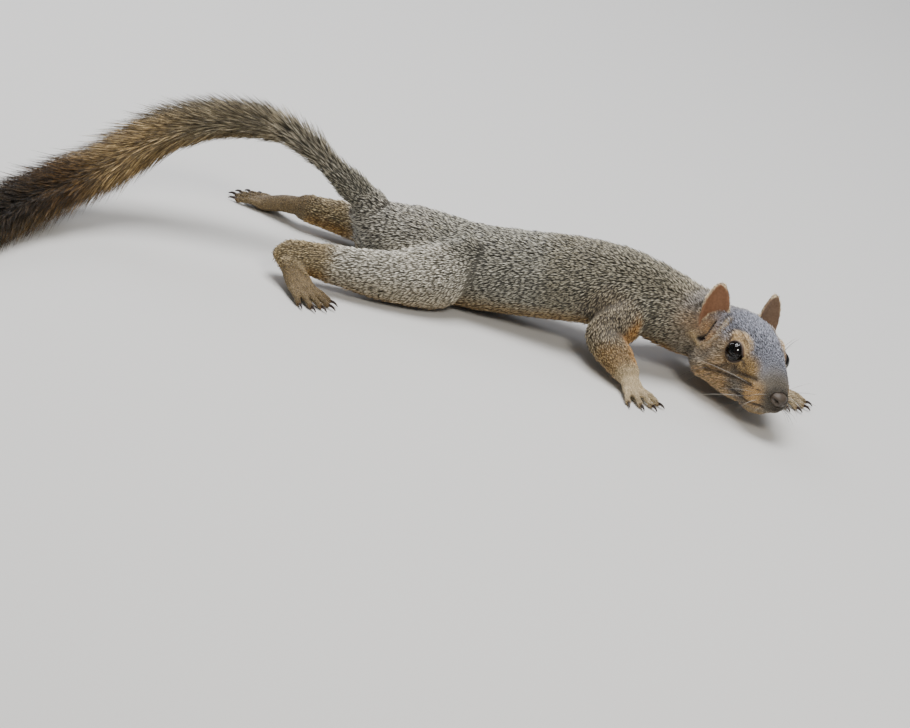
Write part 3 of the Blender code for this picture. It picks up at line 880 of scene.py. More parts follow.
    def _lie(self) -> np.ndarray:
        """The direction along the skin in which the hair of each point lies.

        Returns:
            A direction for each point.
        """
        ways, anatomy, points = self.anatomy.ways(), self.anatomy, self.surface.points
        lie = np.array([ways[name] for name in anatomy.flesh])[self.label]
        head = anatomy.in_head(points)
        from_nose = unit(head - np.array(self.nose_at))
        from_nose[:, 2] -= 0.25 * smooth_step(np.abs(head[:, 1]), 6, 16)
        lie = np.where(self.part("head")[:, None], from_nose @ anatomy.axes, lie)
        lie = np.where(self.part("tail")[:, None], self.tail_way, lie)
        ears = self.part("ear")[:, None]
        for side in Side:
            mine = (ears[:, 0] > 0) & (head[:, 1] * side.value > 0)
            root = anatomy.from_head([2.0, 15.0 * side.value, 10.0])
            lie[mine] = unit(points[mine] - root)
        flank = np.zeros_like(lie)
        trunk = self.part("chest", "loin", "rump", "neck")
        flank[:, 2] = -0.5 * trunk * smooth_step(np.abs(self.out[:, 1]), 0.1, 0.8)
        broad, narrow = self.surface.spread(lie + flank, 180), self.surface.spread(lie, 20)
        small = self.part("forepaw", "hind_foot", times=20)[:, None]
        lie = (broad * (1 - small) + narrow * small) * (1 - ears) + lie * ears
        for side in Side:
            away = points - anatomy.eyes[side]
            ball = anatomy.eye_radius
            near = 0.8 * smooth_step(np.linalg.norm(away, axis=1), ball + 4.5, ball)[:, None]
            lie = lie * (1 - near) + unit(away) * near
        flat = lie - self.out * (lie * self.out).sum(axis=1)[:, None]
        low = smooth_step(points[:, 2], 6, 1.5)
        flat[:, 2] = np.where(flat[:, 2] < 0, flat[:, 2] * (1 - low), flat[:, 2])
        return unit(flat)

    def facing(self) -> np.ndarray:
        """How far each point of the head looks the way its ear opens, from -1 to 1."""
        left = self.head[:, 1] > 0
        return np.where(left, self.out @ self.opening[Side.LEFT], self.out @ self.opening[Side.RIGHT])

    def dress(self, markings: Markings) -> bpy.types.Object:
        """Makes the skin's own piece.

        Args:
            markings: The colours that it shares with the coat.

        Returns:
            The piece.
        """
        mesh, kept = self.surface.mesh("skin")
        put_attributes(mesh, markings.at(kept))
        piece = linked("skin", mesh)
        piece.modifiers.new("thin", "DECIMATE").ratio = self.light_share
        settled(piece).data.shade_smooth()
        piece.data.materials.append(SkinFinish("hide_under_hair", 0.8).material())
        shown(piece, "coat", *self.anatomy.flesh)
        return piece


@dataclass
class Markings:
    """The colours of the coat, one rule for skin and hair alike, painted shade and sky reflection included.
    """

    skin: Skin

    def build(self) -> None:
        """Paints every point of the skin."""
        base = np.array([[*paint(c.dark)[:3], *paint(c.light)[:3]] for c in COVERS.values()])
        rows = base[self.skin.kind]
        ears = self.skin.part("ear", times=3)[:, None]
        rows = self.skin.surface.spread(rows, 60) * (1 - ears) + rows * ears
        self.dark, self.light = rows[:, :3], rows[:, 3:]
        self._body()
        self._face()
        self._ears()
        self._tail()
        for claw in self.skin.anatomy.claws:
            gap = np.linalg.norm(self.skin.surface.points - middle_of(claw), axis=1)
            self.wash(smooth_step(gap, 4.6, 2.2) * 0.6, "4A3418", "80602F")

    def at(self, points: np.ndarray) -> dict[str, np.ndarray]:
        """Both colours of some points of the skin, with a full alpha."""
        rows = {"dark": self.dark[points], "light": self.light[points]}
        return {name: np.pad(row, ((0, 0), (0, 1)), constant_values=1) for name, row in rows.items()}

    def wash(self, mask: np.ndarray, dark: str, light: str) -> None:
        """Lays a pair of colours over the rest.

        Args:
            mask: Where, from 0 to 1.
            dark: The dark colour in sRGB hex.
            light: The light one.
        """
        share = np.clip(mask, 0, 1)[:, None]
        self.dark = self.dark * (1 - share) + np.array(paint(dark)[:3]) * share
        self.light = self.light * (1 - share) + np.array(paint(light)[:3]) * share

    def spot(self, at: tuple[float, float, float], inner: float, outer: float) -> np.ndarray:
        """A soft round mask on both sides of the head.

        Args:
            at: Its middle in the head's frame, in millimetres.
            inner: The radius where it starts to fade.
            outer: The radius where it ends.

        Returns:
            The mask.
        """
        head = self.skin.head.copy()
        head[:, 1] = np.abs(head[:, 1])
        gap = np.linalg.norm(head - np.array(at), axis=1)
        return self.skin.in_head * smooth_step(gap, outer, inner)

    def _body(self) -> None:
        """Warm hair low on the flanks, under the throat and on the legs' inner and front sides."""
        x, _, z = self.skin.outline.T
        forwards, _, up = self.skin.out.T
        trunk = self.skin.part("neck", "chest", "loin", "rump", "thigh", "upper_arm", times=10)
        arm = self.skin.part("upper_arm", "forearm", times=20)
        hock = self.skin.part("shank", times=20)
        self.wash(trunk * smooth_step(z, 22, 8) * 0.5, "40361F", "B09C72")
        self.wash(trunk * smooth_step(up, -0.35, -0.95) * 0.9, "5E4A2C", "B09366")
        self.wash(trunk * smooth_step(x, 92, 112) * smooth_step(z, 19, 10) * 0.85, "7A5422", "C4934C")
        self.wash(arm * smooth_step(forwards, 0.2, 0.75) * 0.8, "7A5220", "C49450")
        self.wash(hock * smooth_step(z, 14, 7) * 0.7, "7A5626", "C29A58")

    def _face(self) -> None:
        """The crown with a painted sky reflection, cheeks, ring round the eye, muzzle, chin, and painted
        shade in the face's lines.
        """
        skin, inside = self.skin, self.skin.in_head
        forward, _, up = skin.head.T
        crown = inside * smooth_step(up + 0.16 * forward, 8, 15) * smooth_step(forward, 54, 42)
        # The crown's own grizzled grey, with a blue cast that is a painted sky reflection.
        self.wash(crown * (0.35 + 0.65 * smooth_step(forward, -10, 8)), "17181C", "9A9CA7")
        self.wash(self.spot((20, 15, -13), 7, 17), "967648", "E2BE8C")
        self.wash(self.spot((10, 19, -2), 5, 12), "6C604E", "C8BAA4")
        self.wash(inside * smooth_step(up, -11, -17), "8C7246", "D8B888")
        self.wash(self.spot((47, 8, -5), 4, 10), "7C5E36", "DCB47A")
        self.wash(self.spot((38, 11, 3), 4, 10), "5E4826", "BC9C64")
        self.wash(self.spot((37, 9, -15), 2, 7), "65543E", "A8957E")
        self.wash(skin.ring, "96794F", "D6BC92")
        self.wash(inside * smooth_step(forward + 0.5 * up, 47, 57), "120F0A", "463E30")
        # Painted shade in the cheek's folds.
        self.wash(skin.fold * 1.05, "20180F", "54442F")
        # Painted shade in the mouth's line and the groove under the nose.
        self.wash(skin.crease * 1.3, "1A130D", "3A2C1A")
        self.wash(skin.tear, "1C120E", "3A2A20")

    def _ears(self) -> None:
        """Orange-brown and thin inside, grizzled behind, with a pale rim; painted shade in the opening and
        the far ear.
        """
        skin = self.skin
        ears = skin.part("ear", times=2)
        facing = smooth_step(skin.facing(), 0.0, 0.4)
        self.wash(ears * facing, "6A4730", "93694A")
        # Painted shade: the far (left) ear's inside darker and greyer than the near one.
        self.wash(ears * (skin.head[:, 1] > 0) * facing * 0.7, "4E4136", "84705C")
        self.wash(ears * (1 - facing), "5A4B36", "A08C6C")
        self.wash(EAR_BASE.mask(skin.head) * skin.in_head * (1 - ears) * 0.95, "80603A", "C8A070")
        self.wash(skin.ridge, "8A7048", "CDB78E")
        self.wash(skin.rim, "C0A880", "EADCBC")
        # Painted shade in each ear's opening.
        self.wash(smooth_step(skin.slit, 0.2, 0.5), "120C08", "241810")

    def _tail(self) -> None:
        """From the back's grey to black with orange, and an orange fringe below."""
        share = self.skin.along / self.skin.tail_length
        steps = (
            (0.00, 0.12, "38342A", "A9A08A"),
            (0.12, 0.30, "4A4230", "B8A988"),
            (0.30, 0.48, "57482C", "CCAE78"),
            (0.48, 0.64, "241A0A", "806034"),
            (0.62, 0.80, "14100A", "4C3C24"),
            (0.80, 0.98, "110E09", "4F3D22"),
        )
        for start, full, dark, light in steps:
            self.wash(self.skin.on_tail * smooth_step(share, start, full), dark, light)
        low = self.skin.on_tail * smooth_step(self.skin.out[:, 2], 0.1, -0.6)
        self.wash(low * smooth_step(share, 0.12, 0.4) * 0.7, "553F16", "8F7238")


@dataclass(frozen=True)
class Finish:
    """A surface with one shader. Each kind of it says what feeds the shader's inputs."""

    name: str
    roughness: float

    def material(self) -> bpy.types.Material:
        """The material, made when it is first asked for.

        Returns:
            The material.
        """
        made = bpy.data.materials.get(self.name)
        if made is None:
            made = bpy.data.materials.new(self.name)
            made.use_nodes = True
            shader = made.node_tree.nodes["Principled BSDF"]
            feed(shader, {"Roughness": self.roughness} | self.inputs(made.node_tree))
        return made

    def inputs(self, tree: bpy.types.NodeTree) -> dict:
        """Adds the finish's nodes and says what goes into the shader besides its roughness."""
        return {}


class SkinFinish(Finish):
    """Skin under hair: thin hide, dulled by the roots, with fine streaks in the coat's own colours."""

    STREAK = 900.0

    def inputs(self, tree: bpy.types.NodeTree) -> dict:
        """Mixes the two colours of the coat by a fine noise, which is also a bump.

        Args:
            tree: The material's tree.

        Returns:
            The shader's inputs.
        """
        where = add_node(tree, "ShaderNodeTexCoord").outputs["Object"]
        dark = add_node(tree, "ShaderNodeAttribute", attribute_name="dark").outputs["Color"]
        light = add_node(tree, "ShaderNodeAttribute", attribute_name="light").outputs["Color"]
        noise = {"Vector": where, "Scale": self.STREAK, "Detail": 3.0}
        strands = add_node(tree, "ShaderNodeTexNoise", noise).outputs[0]
        mix = add_node(tree, "ShaderNodeMix", {0: strands, 6: dark, 7: light}, data_type="RGBA")
        bump = add_node(tree, "ShaderNodeBump", {"Height": strands, "Distance": 0.0003, "Strength": 0.6})
        return {"Base Color": mix.outputs[2], "Normal": bump.outputs[0]}


@dataclass(frozen=True)
class HairFinish(Finish):
    """Hair: banded strands, dark at the root and often at the tip, with a soft sheen.

    A strand has the brightness base up to the share root of its length, 1 from rise_end to
    fall_start, and tip from fall_end on. The bands wander along it from tuft to tuft, and the
    tufts' own brightness lies between dimmest and brightest.
    """

    roughness: float = 0.5
    root: float = 0.36
    rise_end: float = 0.56
    fall_start: float = 0.78
    fall_end: float = 0.97
    tip: float = 0.05
    base: float = 0.1
    wander: float = 0.3
    dimmest: float = 0.55
    brightest: float = 1.35

    def inputs(self, tree: bpy.types.NodeTree) -> dict:
        """Bands the two colours along each tuft and varies them from tuft to tuft.

        Args:
            tree: The material's tree.

        Returns:
            The shader's inputs.
        """
        dark, light, span, luck, leaf = (
            add_node(tree, "ShaderNodeAttribute", attribute_name=name).outputs[output]
            for name, output in (
                ("dark", "Color"), ("light", "Color"), ("span", "Fac"), ("luck", "Fac"), ("leaf", "Vector")
            )
        )
        moved = {0: luck, 1: self.wander, 2: span}
        phase = add_node(tree, "ShaderNodeMath", moved, operation="MULTIPLY_ADD").outputs[0]
        band = add_node(tree, "ShaderNodeValToRGB", {0: phase})
        first, last = band.color_ramp.elements
        first.position, first.color = self.root + self.wander / 2, (*[self.base] * 3, 1)
        last.position, last.color = self.fall_end + self.wander / 2, (*[self.tip] * 3, 1)
        for spot in (self.rise_end, self.fall_start):
            band.color_ramp.elements.new(spot + self.wander / 2).color = (1, 1, 1, 1)
        colours = {0: band.outputs["Color"], 6: dark, 7: light}
        mix = add_node(tree, "ShaderNodeMix", colours, data_type="RGBA")
        own = add_node(tree, "ShaderNodeMath", {0: luck, 1: 9.7}, operation="MULTIPLY").outputs[0]
        other = add_node(tree, "ShaderNodeMath", {0: own}, operation="FRACT").outputs[0]
        waves = {"Vector": leaf, "Scale": 1.6, "Distortion": 3.0, "Phase Offset": own}
        strands = add_node(tree, "ShaderNodeTexWave", waves).outputs["Fac"]
        spread = {"Value": other, "To Min": self.dimmest, "To Max": self.brightest}
        bright = add_node(tree, "ShaderNodeMapRange", spread).outputs[0]
        striped = {0: strands, 1: 0.3, 2: bright}
        scale = add_node(tree, "ShaderNodeMath", striped, operation="MULTIPLY_ADD").outputs[0]
        lit = {0: mix.outputs[2], "Scale": scale}
        scaled = add_node(tree, "ShaderNodeVectorMath", lit, operation="SCALE").outputs[0]
        return {"Base Color": scaled, "Sheen Weight": 0.1}


class CorneaFinish(Finish):
    """Clear and wet: all its light is gloss."""

    def inputs(self, tree: bpy.types.NodeTree) -> dict:
        """White, clear, and as dense as a cornea."""
        return {"Base Color": (1, 1, 1, 1), "Transmission Weight": 1.0, "IOR": 1.376}


class IrisFinish(Finish):
    """A black pupil in a very dark brown iris, darker still round it, without gloss of its own."""

    STOPS = ((0.33, "160D08"), (0.55, "0F0805"))

    def inputs(self, tree: bpy.types.NodeTree) -> dict:
        """Colours the ball by the angle from the axis of sight.

        Args:
            tree: The material's tree.

        Returns:
            The shader's inputs.
        """
        gaze = add_node(tree, "ShaderNodeAttribute", attribute_name="gaze").outputs["Fac"]
        share = add_node(tree, "ShaderNodeMapRange", {"Value": gaze, "From Max": 90.0}).outputs[0]
        ramp = add_node(tree, "ShaderNodeValToRGB", {0: share})
        first, last = ramp.color_ramp.elements
        first.position, first.color = 0.27, paint("020202")
        last.position, last.color = 0.75, paint("0A0706")
        for spot, code in self.STOPS:
            ramp.color_ramp.elements.new(spot).color = paint(code)
        return {"Base Color": ramp.outputs["Color"], "Specular IOR Level": 0.0}


class LidFinish(Finish):
    """Bare dark skin at the lids' edge, then short pale hair, with a fine grain."""

    def inputs(self, tree: bpy.types.NodeTree) -> dict:
        """Mixes skin and hair by the attribute "hairy".

        Args:
            tree: The material's tree.

        Returns:
            The shader's inputs.
        """
        hairy = add_node(tree, "ShaderNodeAttribute", attribute_name="hairy").outputs["Fac"]
        colours = {0: hairy, 6: paint("2A1C14"), 7: paint("6E5A46")}
        mix = add_node(tree, "ShaderNodeMix", colours, data_type="RGBA")
        where = add_node(tree, "ShaderNodeTexCoord").outputs["Object"]
        grain = add_node(tree, "ShaderNodeTexNoise", {"Vector": where, "Scale": 2200.0}).outputs[0]
        bump = add_node(tree, "ShaderNodeBump", {"Height": grain, "Distance": 0.0001})
        return {"Base Color": mix.outputs[2], "Normal": bump.outputs[0]}


class NoseFinish(Finish):
    """Moist bare skin with a fine pebbled grain, with painted shade inside the nostrils."""

    def inputs(self, tree: bpy.types.NodeTree) -> dict:
        """Clouds two browns, darkens them by the attribute "inner" as painted shade in the nostrils, and
        pebbles the surface.

        Args:
            tree: The material's tree.

        Returns:
            The shader's inputs.
        """
        where = add_node(tree, "ShaderNodeTexCoord").outputs["Object"]
        cells = add_node(tree, "ShaderNodeTexVoronoi", {"Vector": where, "Scale": 2600.0})
        cloud = add_node(tree, "ShaderNodeTexNoise", {"Vector": where, "Scale": 500.0}).outputs[0]
        colours = {0: cloud, 6: paint("352C24"), 7: paint("564A3C")}
        mix = add_node(tree, "ShaderNodeMix", colours, data_type="RGBA").outputs[2]
        inner = add_node(tree, "ShaderNodeAttribute", attribute_name="inner").outputs["Fac"]
        # Painted shade inside the nostrils.
        colours = {0: inner, 6: mix, 7: paint("0A0706")}
        deep = add_node(tree, "ShaderNodeMix", colours, data_type="RGBA").outputs[2]
        heights = {"Height": cells.outputs["Distance"], "Distance": 0.00012}
        return {"Base Color": deep, "Normal": add_node(tree, "ShaderNodeBump", heights).outputs[0]}


class HornFinish(Finish):
    """Dark horn: fine streaks along it, smooth and hard."""

    def inputs(self, tree: bpy.types.NodeTree) -> dict:
        """Streaks two browns and lets the streaks stand up a little.

        Args:
            tree: The material's tree.

        Returns:
            The shader's inputs.
        """
        where = add_node(tree, "ShaderNodeTexCoord").outputs["Object"]
        noise = {"Vector": where, "Scale": 700.0, "Detail": 3.0}
        streak = add_node(tree, "ShaderNodeTexNoise", noise).outputs[0]
        colours = {0: streak, 6: paint("120C09"), 7: paint("3E2E24")}
        mix = add_node(tree, "ShaderNodeMix", colours, data_type="RGBA")
        bump = add_node(tree, "ShaderNodeBump", {"Height": streak, "Distance": 0.00008})
        return {"Base Color": mix.outputs[2], "Normal": bump.outputs[0]}


class FloorFinish(Finish):
    """Matt pale board that takes soft shadows."""

    def inputs(self, tree: bpy.types.NodeTree) -> dict:
        """One pale grey."""
        return {"Base Color": paint("D2D1CD")}


@dataclass
class Tuft:
    """One pointed lock of hair, three-sided, a millimetre wide and long before it is scaled.

    rings are its heights and half widths there. bend is how far its tip leans over, and ridge how
    far its outer edge stands up.
    """

    name: str
    rings: tuple[tuple[float, float], ...] = ((0.0, 0.5), (0.5, 0.42))
    bend: float = -0.9
    ridge: float = 0.42

    def build(self) -> bpy.types.Object:
        """Makes the template that the coat's trees repeat.

        Returns:
            A hidden object.
        """
        bm = bmesh.new()
        corners = ((self.ridge, 0.0), (-0.2, 1.0), (-0.2, -1.0))
        rows = [
            [bm.verts.new(self._spot(x * half * 2, y * half, height)) for x, y in corners]
            for height, half in self.rings
        ]
        tip = bm.verts.new(self._spot(0, 0, 1.0))
        weave(bm, rows)
        cap(bm, rows[-1], tip)
        bm.faces.new(rows[0][::-1])
        mesh = smooth_mesh(bm, self.name)
        _, aside, up = read(mesh.vertices, "co", 3).T / MM
        leaf = np.stack([aside * 0.5, up - 0.5, np.zeros(len(up))], axis=1)
        put_attributes(mesh, {"span": up, "leaf": leaf})
        made = linked(self.name, mesh)
        made.hide_render = made.hide_viewport = True
        return made

    def _spot(self, x: float, y: float, z: float) -> Vector:
        """A place on the bent tuft."""
        return Vector((x + self.bend * z * z, y, z)) * MM


class CoatTree:
    """The Geometry Nodes tree that stands tufts on a piece of skin."""

    INPUTS = (
        ("Roots", "NodeSocketGeometry", None),
        ("Tuft", "NodeSocketObject", None),
        ("Spacing", "NodeSocketFloat", 0.0006),
        ("Most per area", "NodeSocketFloat", 2.0e6),
        ("Ruffle", "NodeSocketFloat", 0.12),
        ("Seed", "NodeSocketInt", 7),
        ("Finish", "NodeSocketMaterial", None),
    )
    # What the skin says about each place.
    KNOWN = {
        "crowd": "FLOAT", "way": "FLOAT_VECTOR", "out": "FLOAT_VECTOR", "width": "FLOAT", "reach": "FLOAT"
    }
    # Drawn for each tuft: the lowest, the highest, and what is added to the seed.
    DRAWN = {
        "x": (-1.0, 1.0, 11.0),
        "y": (-1.0, 1.0, 12.0),
        "z": (-1.0, 1.0, 13.0),
        "width": (0.75, 1.25, 21.0),
        "reach": (0.72, 1.18, 22.0),
        "luck": (0.0, 1.0, 31.0),
    }

    def __init__(self, scattered: bool = True) -> None:
        """Builds the tree.

        Args:
            scattered: Whether tufts are spread over faces; otherwise one stands on each point.
        """
        name = "coat_on_skin" if scattered else "hair_on_points"
        self.tree = bpy.data.node_groups.new(name, "GeometryNodeTree")
        face = self.tree.interface
        for label, kind, value in self.INPUTS:
            socket = face.new_socket(name=label, in_out="INPUT", socket_type=kind)
            if value is not None:
                socket.default_value = value
        face.new_socket(name="Coat", in_out="OUTPUT", socket_type="NodeSocketGeometry")
        self.given = add_node(self.tree, "NodeGroupInput").outputs
        self._fill(self._spots(scattered))

    def _spots(self, scattered: bool) -> bpy.types.NodeSocket:
        """Adds the nodes that say where the tufts stand.

        Args:
            scattered: Whether they are spread over faces, no two nearer than the spacing.

        Returns:
            The spots.
        """
        given = self.given
        if not scattered:
            return add_node(self.tree, "GeometryNodeMeshToPoints", {"Mesh": given["Roots"]}).outputs[0]
        inputs = {
            "Mesh": given["Roots"],
            "Distance Min": given["Spacing"],
            "Density Max": given["Most per area"],
            "Density Factor": self._known("crowd"),
            "Seed": given["Seed"],
        }
        kind = "GeometryNodeDistributePointsOnFaces"
        return add_node(self.tree, kind, inputs, distribute_method="POISSON").outputs["Points"]

    def _known(self, name: str) -> bpy.types.NodeSocket:
        """Reads what the skin says about a tuft's place.

        Args:
            name: The attribute.

        Returns:
            Its value.
        """
        kind = "GeometryNodeInputNamedAttribute"
        outputs = add_node(self.tree, kind, {0: name}, data_type=self.KNOWN[name]).outputs
        return next(socket for socket in outputs if socket.enabled and socket.name == "Attribute")

    def _fill(self, spots: bpy.types.NodeSocket) -> None:
        """Adds the nodes that turn, scale and dress a tuft on each spot.

        Args:
            spots: Where the tufts stand.
        """
        tree, given, drawn = self.tree, self.given, {}
        for name, (low, high, shift) in self.DRAWN.items():
            own = add_node(tree, "ShaderNodeMath", {0: given["Seed"], 1: shift}, operation="ADD")
            inputs = {2: low, 3: high, 8: own.outputs[0]}
            drawn[name] = add_node(tree, "FunctionNodeRandomValue", inputs, data_type="FLOAT").outputs[1]
        jitter = add_node(tree, "ShaderNodeCombineXYZ", {0: drawn["x"], 1: drawn["y"], 2: drawn["z"]})
        inputs = {0: jitter.outputs[0], 1: given["Ruffle"], 2: self._known("way")}
        ruffled = add_node(tree, "ShaderNodeVectorMath", inputs, operation="MULTIPLY_ADD")
        align = "FunctionNodeAlignRotationToVector"
        upright = add_node(tree, align, {"Vector": ruffled.outputs[0]}, axis="Z", pivot_axis="AUTO")
        inputs = {"Rotation": upright.outputs[0], "Vector": self._known("out")}
        turned = add_node(tree, align, inputs, axis="X", pivot_axis="Z")
        sizes = {}
        for name in ("width", "reach"):
            factors = {0: self._known(name), 1: drawn[name]}
            sizes[name] = add_node(tree, "ShaderNodeMath", factors, operation="MULTIPLY").outputs[0]
        inputs = {0: sizes["width"], 1: sizes["width"], 2: sizes["reach"]}
        size = add_node(tree, "ShaderNodeCombineXYZ", inputs)
        tuft = add_node(tree, "GeometryNodeObjectInfo", {0: given["Tuft"]}).outputs["Geometry"]
        inputs = {"Points": spots, "Instance": tuft, "Rotation": turned.outputs[0], "Scale": size.outputs[0]}
        stood = add_node(tree, "GeometryNodeInstanceOnPoints", inputs)
        inputs = {"Geometry": stood.outputs[0], "Name": "luck", "Value": drawn["luck"]}
        keep = "GeometryNodeStoreNamedAttribute"
        lucky = add_node(tree, keep, inputs, data_type="FLOAT", domain="INSTANCE")
        real = add_node(tree, "GeometryNodeRealizeInstances", {0: lucky.outputs[0]})
        dressed = add_node(tree, "GeometryNodeSetMaterial", {0: real.outputs[0], 2: given["Finish"]})
        add_node(tree, "NodeGroupOutput", {0: dressed.outputs[0]})

    def grow(self, name: str, roots: bpy.types.Mesh, values: dict[str, object], slot: str) -> None:
        """Runs the tree on a mesh of roots and hands the result over as a plain mesh.

        Args:
            name: The piece's name.
            roots: The patch of skin, or the points, with their attributes.
            values: The tree's inputs by name.
            slot: The record's material slot.
        """
        made = linked(name, roots)
        lay = made.modifiers.new("lay", "NODES")
        lay.node_group = self.tree
        for item in self.tree.interface.items_tree:
            if item.name in values:
                lay[item.identifier] = values[item.name]
        settled(made)
        bake_map(made.data)
        for spare in (*self.KNOWN, "root_uv"):
            if spare in made.data.attributes:
                made.data.attributes.remove(made.data.attributes[spare])
        keep_off_floor(made.data)
        shown(made, slot)


def keep_off_floor(mesh: bpy.types.Mesh, gap: float = 0.1) -> None:
    """Lifts what would reach below the floor.

    Args:
        mesh: The mesh.
        gap: How far above the floor it ends up, in millimetres.
    """
    places = read(mesh.vertices, "co", 3, np.float32)
    places[:, 2] = np.maximum(places[:, 2], gap * MM)
    mesh.vertices.foreach_set("co", places.ravel())
    mesh.update()


def bake_map(mesh: bpy.types.Mesh, patch: float = 0.003) -> None:
    """Gives each tuft its own small patch of the map, at its root's place on the skin's unwrap.

    Args:
        mesh: The coat.
        patch: The patch's size, as a share of the map.
    """
    root, leaf = (read(mesh.attributes[name].data, "vector", 3)[:, :2] for name in ("root_uv", "leaf"))
    corners = read(mesh.loops, "vertex_index", 1, int)[:, 0]
    layer = mesh.uv_layers.new(name="OFBake")
    layer.uv.foreach_set("vector", (root + leaf * patch)[corners].astype(np.float32).ravel())


class Lock(Enum):
    """The kinds of tuft: their shape and what their hair looks like."""

    FINE = (Tuft("tuft_fine"), HairFinish("short_face_hair"))
    SHORT = (
        Tuft("tuft_short", ((0.0, 0.35), (0.5, 0.5), (0.82, 0.34))),
        HairFinish(
            "banded_guard_hair", root=0.56, rise_end=0.68, fall_start=0.80, fall_end=0.92, tip=0.08,
            base=0.15, wander=0.18, dimmest=0.65, brightest=1.25,
        ),
    )
    LONG = (
        Tuft("tuft_long", ((0.0, 0.5), (0.4, 0.5), (0.75, 0.3)), bend=-1.3),
        HairFinish(
            "long_tail_hair", root=0.1, rise_end=0.3, fall_start=0.6, fall_end=1.0, tip=0.1,
            base=0.0, wander=0.6, dimmest=0.6, brightest=1.3,
        ),
    )

    def __init__(self, tuft: Tuft, finish: HairFinish) -> None:
        """Keeps the two under their names."""
        self.tuft, self.finish = tuft, finish


@dataclass
class Patch:
    """One piece of the coat: which solids' skin it grows on, how densely and how untidily."""

    name: str
    solids: tuple[str, ...]
    seed: int
    slot: str = "coat"
    spacing: float = 0.62
    lock: Lock = Lock.SHORT
    ruffle: float = 0.10


@dataclass
class Coat:
    """All the hair.

    margin is the free edge round a solid's part of the map. most is how many roots are tried for
    each square of the spacing.
    """

    skin: Skin
    markings: Markings
    margin: float = 0.02
    most: float = 1.6

    def patches(self) -> list[Patch]:
        """The pieces, nose to tail.

        Returns:
            One patch for each piece.
        """
        rows = [
            Patch("coat_head", ("head",), 3, "coat", 0.46, Lock.FINE, 0.09),
            Patch("coat_ears", ("ear_left", "ear_right"), 5, "ear", 0.40, Lock.FINE, 0.12),
            Patch("coat_neck", ("neck",), 6, spacing=0.60),
            Patch("coat_chest", ("chest",), 7),
            Patch("coat_loin", ("loin",), 9),
            Patch("coat_rump", ("rump", "tail_1"), 11),
            Patch("coat_thigh_right", ("thigh_right", "shank_right"), 13),
            Patch("coat_thigh_left", ("thigh_left", "shank_left"), 15),
            Patch("coat_arm_right", ("upper_arm_right", "forearm_right"), 17),
            Patch("coat_arm_left", ("upper_arm_left", "forearm_left"), 18),
            Patch("coat_hind_feet", ("hind_foot_right", "hind_foot_left"), 19, "foot", 0.44, Lock.FINE),
            Patch("coat_forepaws", ("forepaw_right", "forepaw_left"), 21, "foot", 0.40, Lock.FINE),
        ]
        lengths = (("near", 23, 0.11), ("middle", 25, 0.12), ("far", 27, 0.13), ("end", 29, 0.14))
        for number, (place, seed, ruffle) in enumerate(lengths, 2):
            name, solids = f"coat_tail_{place}", (f"tail_{number}",)
            rows.append(Patch(name, solids, seed, "tail", 0.27, Lock.LONG, ruffle))
        return rows

    def build(self) -> None:
        """Grows every piece."""
        tree = CoatTree()
        tufts = {lock: lock.tuft.build() for lock in Lock}
        for patch in self.patches():
            values = {
                "Tuft": tufts[patch.lock],
                "Spacing": patch.spacing * MM,
                "Ruffle": patch.ruffle,
                "Seed": patch.seed,
                "Most per area": self.most / (patch.spacing * MM) ** 2,
                "Finish": patch.lock.finish.material(),
            }
            tree.grow(patch.name, self._roots(patch), values, patch.slot)
        for tuft in tufts.values():
            bpy.data.objects.remove(tuft)

    def _roots(self, patch: Patch) -> bpy.types.Mesh:
        """The patch of skin that a piece grows on, with what its tufts need to know.

        Args:
            patch: The piece.

        Returns:
            The mesh with its attributes.
        """
        skin = self.skin
        wanted = np.isin(skin.label, [skin.anatomy.flesh.index(name) for name in patch.solids])
        mesh, kept = skin.surface.mesh(patch.name, np.flatnonzero(wanted[skin.surface.faces[:, 0]]))
        fields = {name: getattr(skin, name)[kept] for name in CoatTree.KNOWN}
        put_attributes(mesh, fields | self.markings.at(kept) | {"root_uv": self._unwrap(kept, patch)})
        return mesh

    def _unwrap(self, kept: np.ndarray, patch: Patch) -> np.ndarray:
        """Unrolls each solid's skin round its own long axis, side by side on the map.

        Args:
            kept: The numbers of the patch's points.
            patch: The piece.

        Returns:
            A place on the map for each point, and a third column of zeros.
        """
        points, labels = self.skin.surface.points[kept], self.skin.label[kept]
        spots = np.zeros((len(kept), 3))
        wide = 1 / len(patch.solids)
        for number, name in enumerate(patch.solids):
            mine = labels == self.skin.anatomy.flesh.index(name)
            chosen = points[mine] - points[mine].mean(axis=0)
            along, one, two = (chosen @ np.linalg.svd(chosen.T @ chosen)[0]).T
            turn = np.arctan2(two, one) / (2 * math.pi) + 0.5
            far = (along - along.min()) / np.ptp(along)
            spots[mine, 0] = number * wide + self.margin + turn * (wide - 2 * self.margin)
            spots[mine, 1] = self.margin + far * (1 - 2 * self.margin)
        return spots


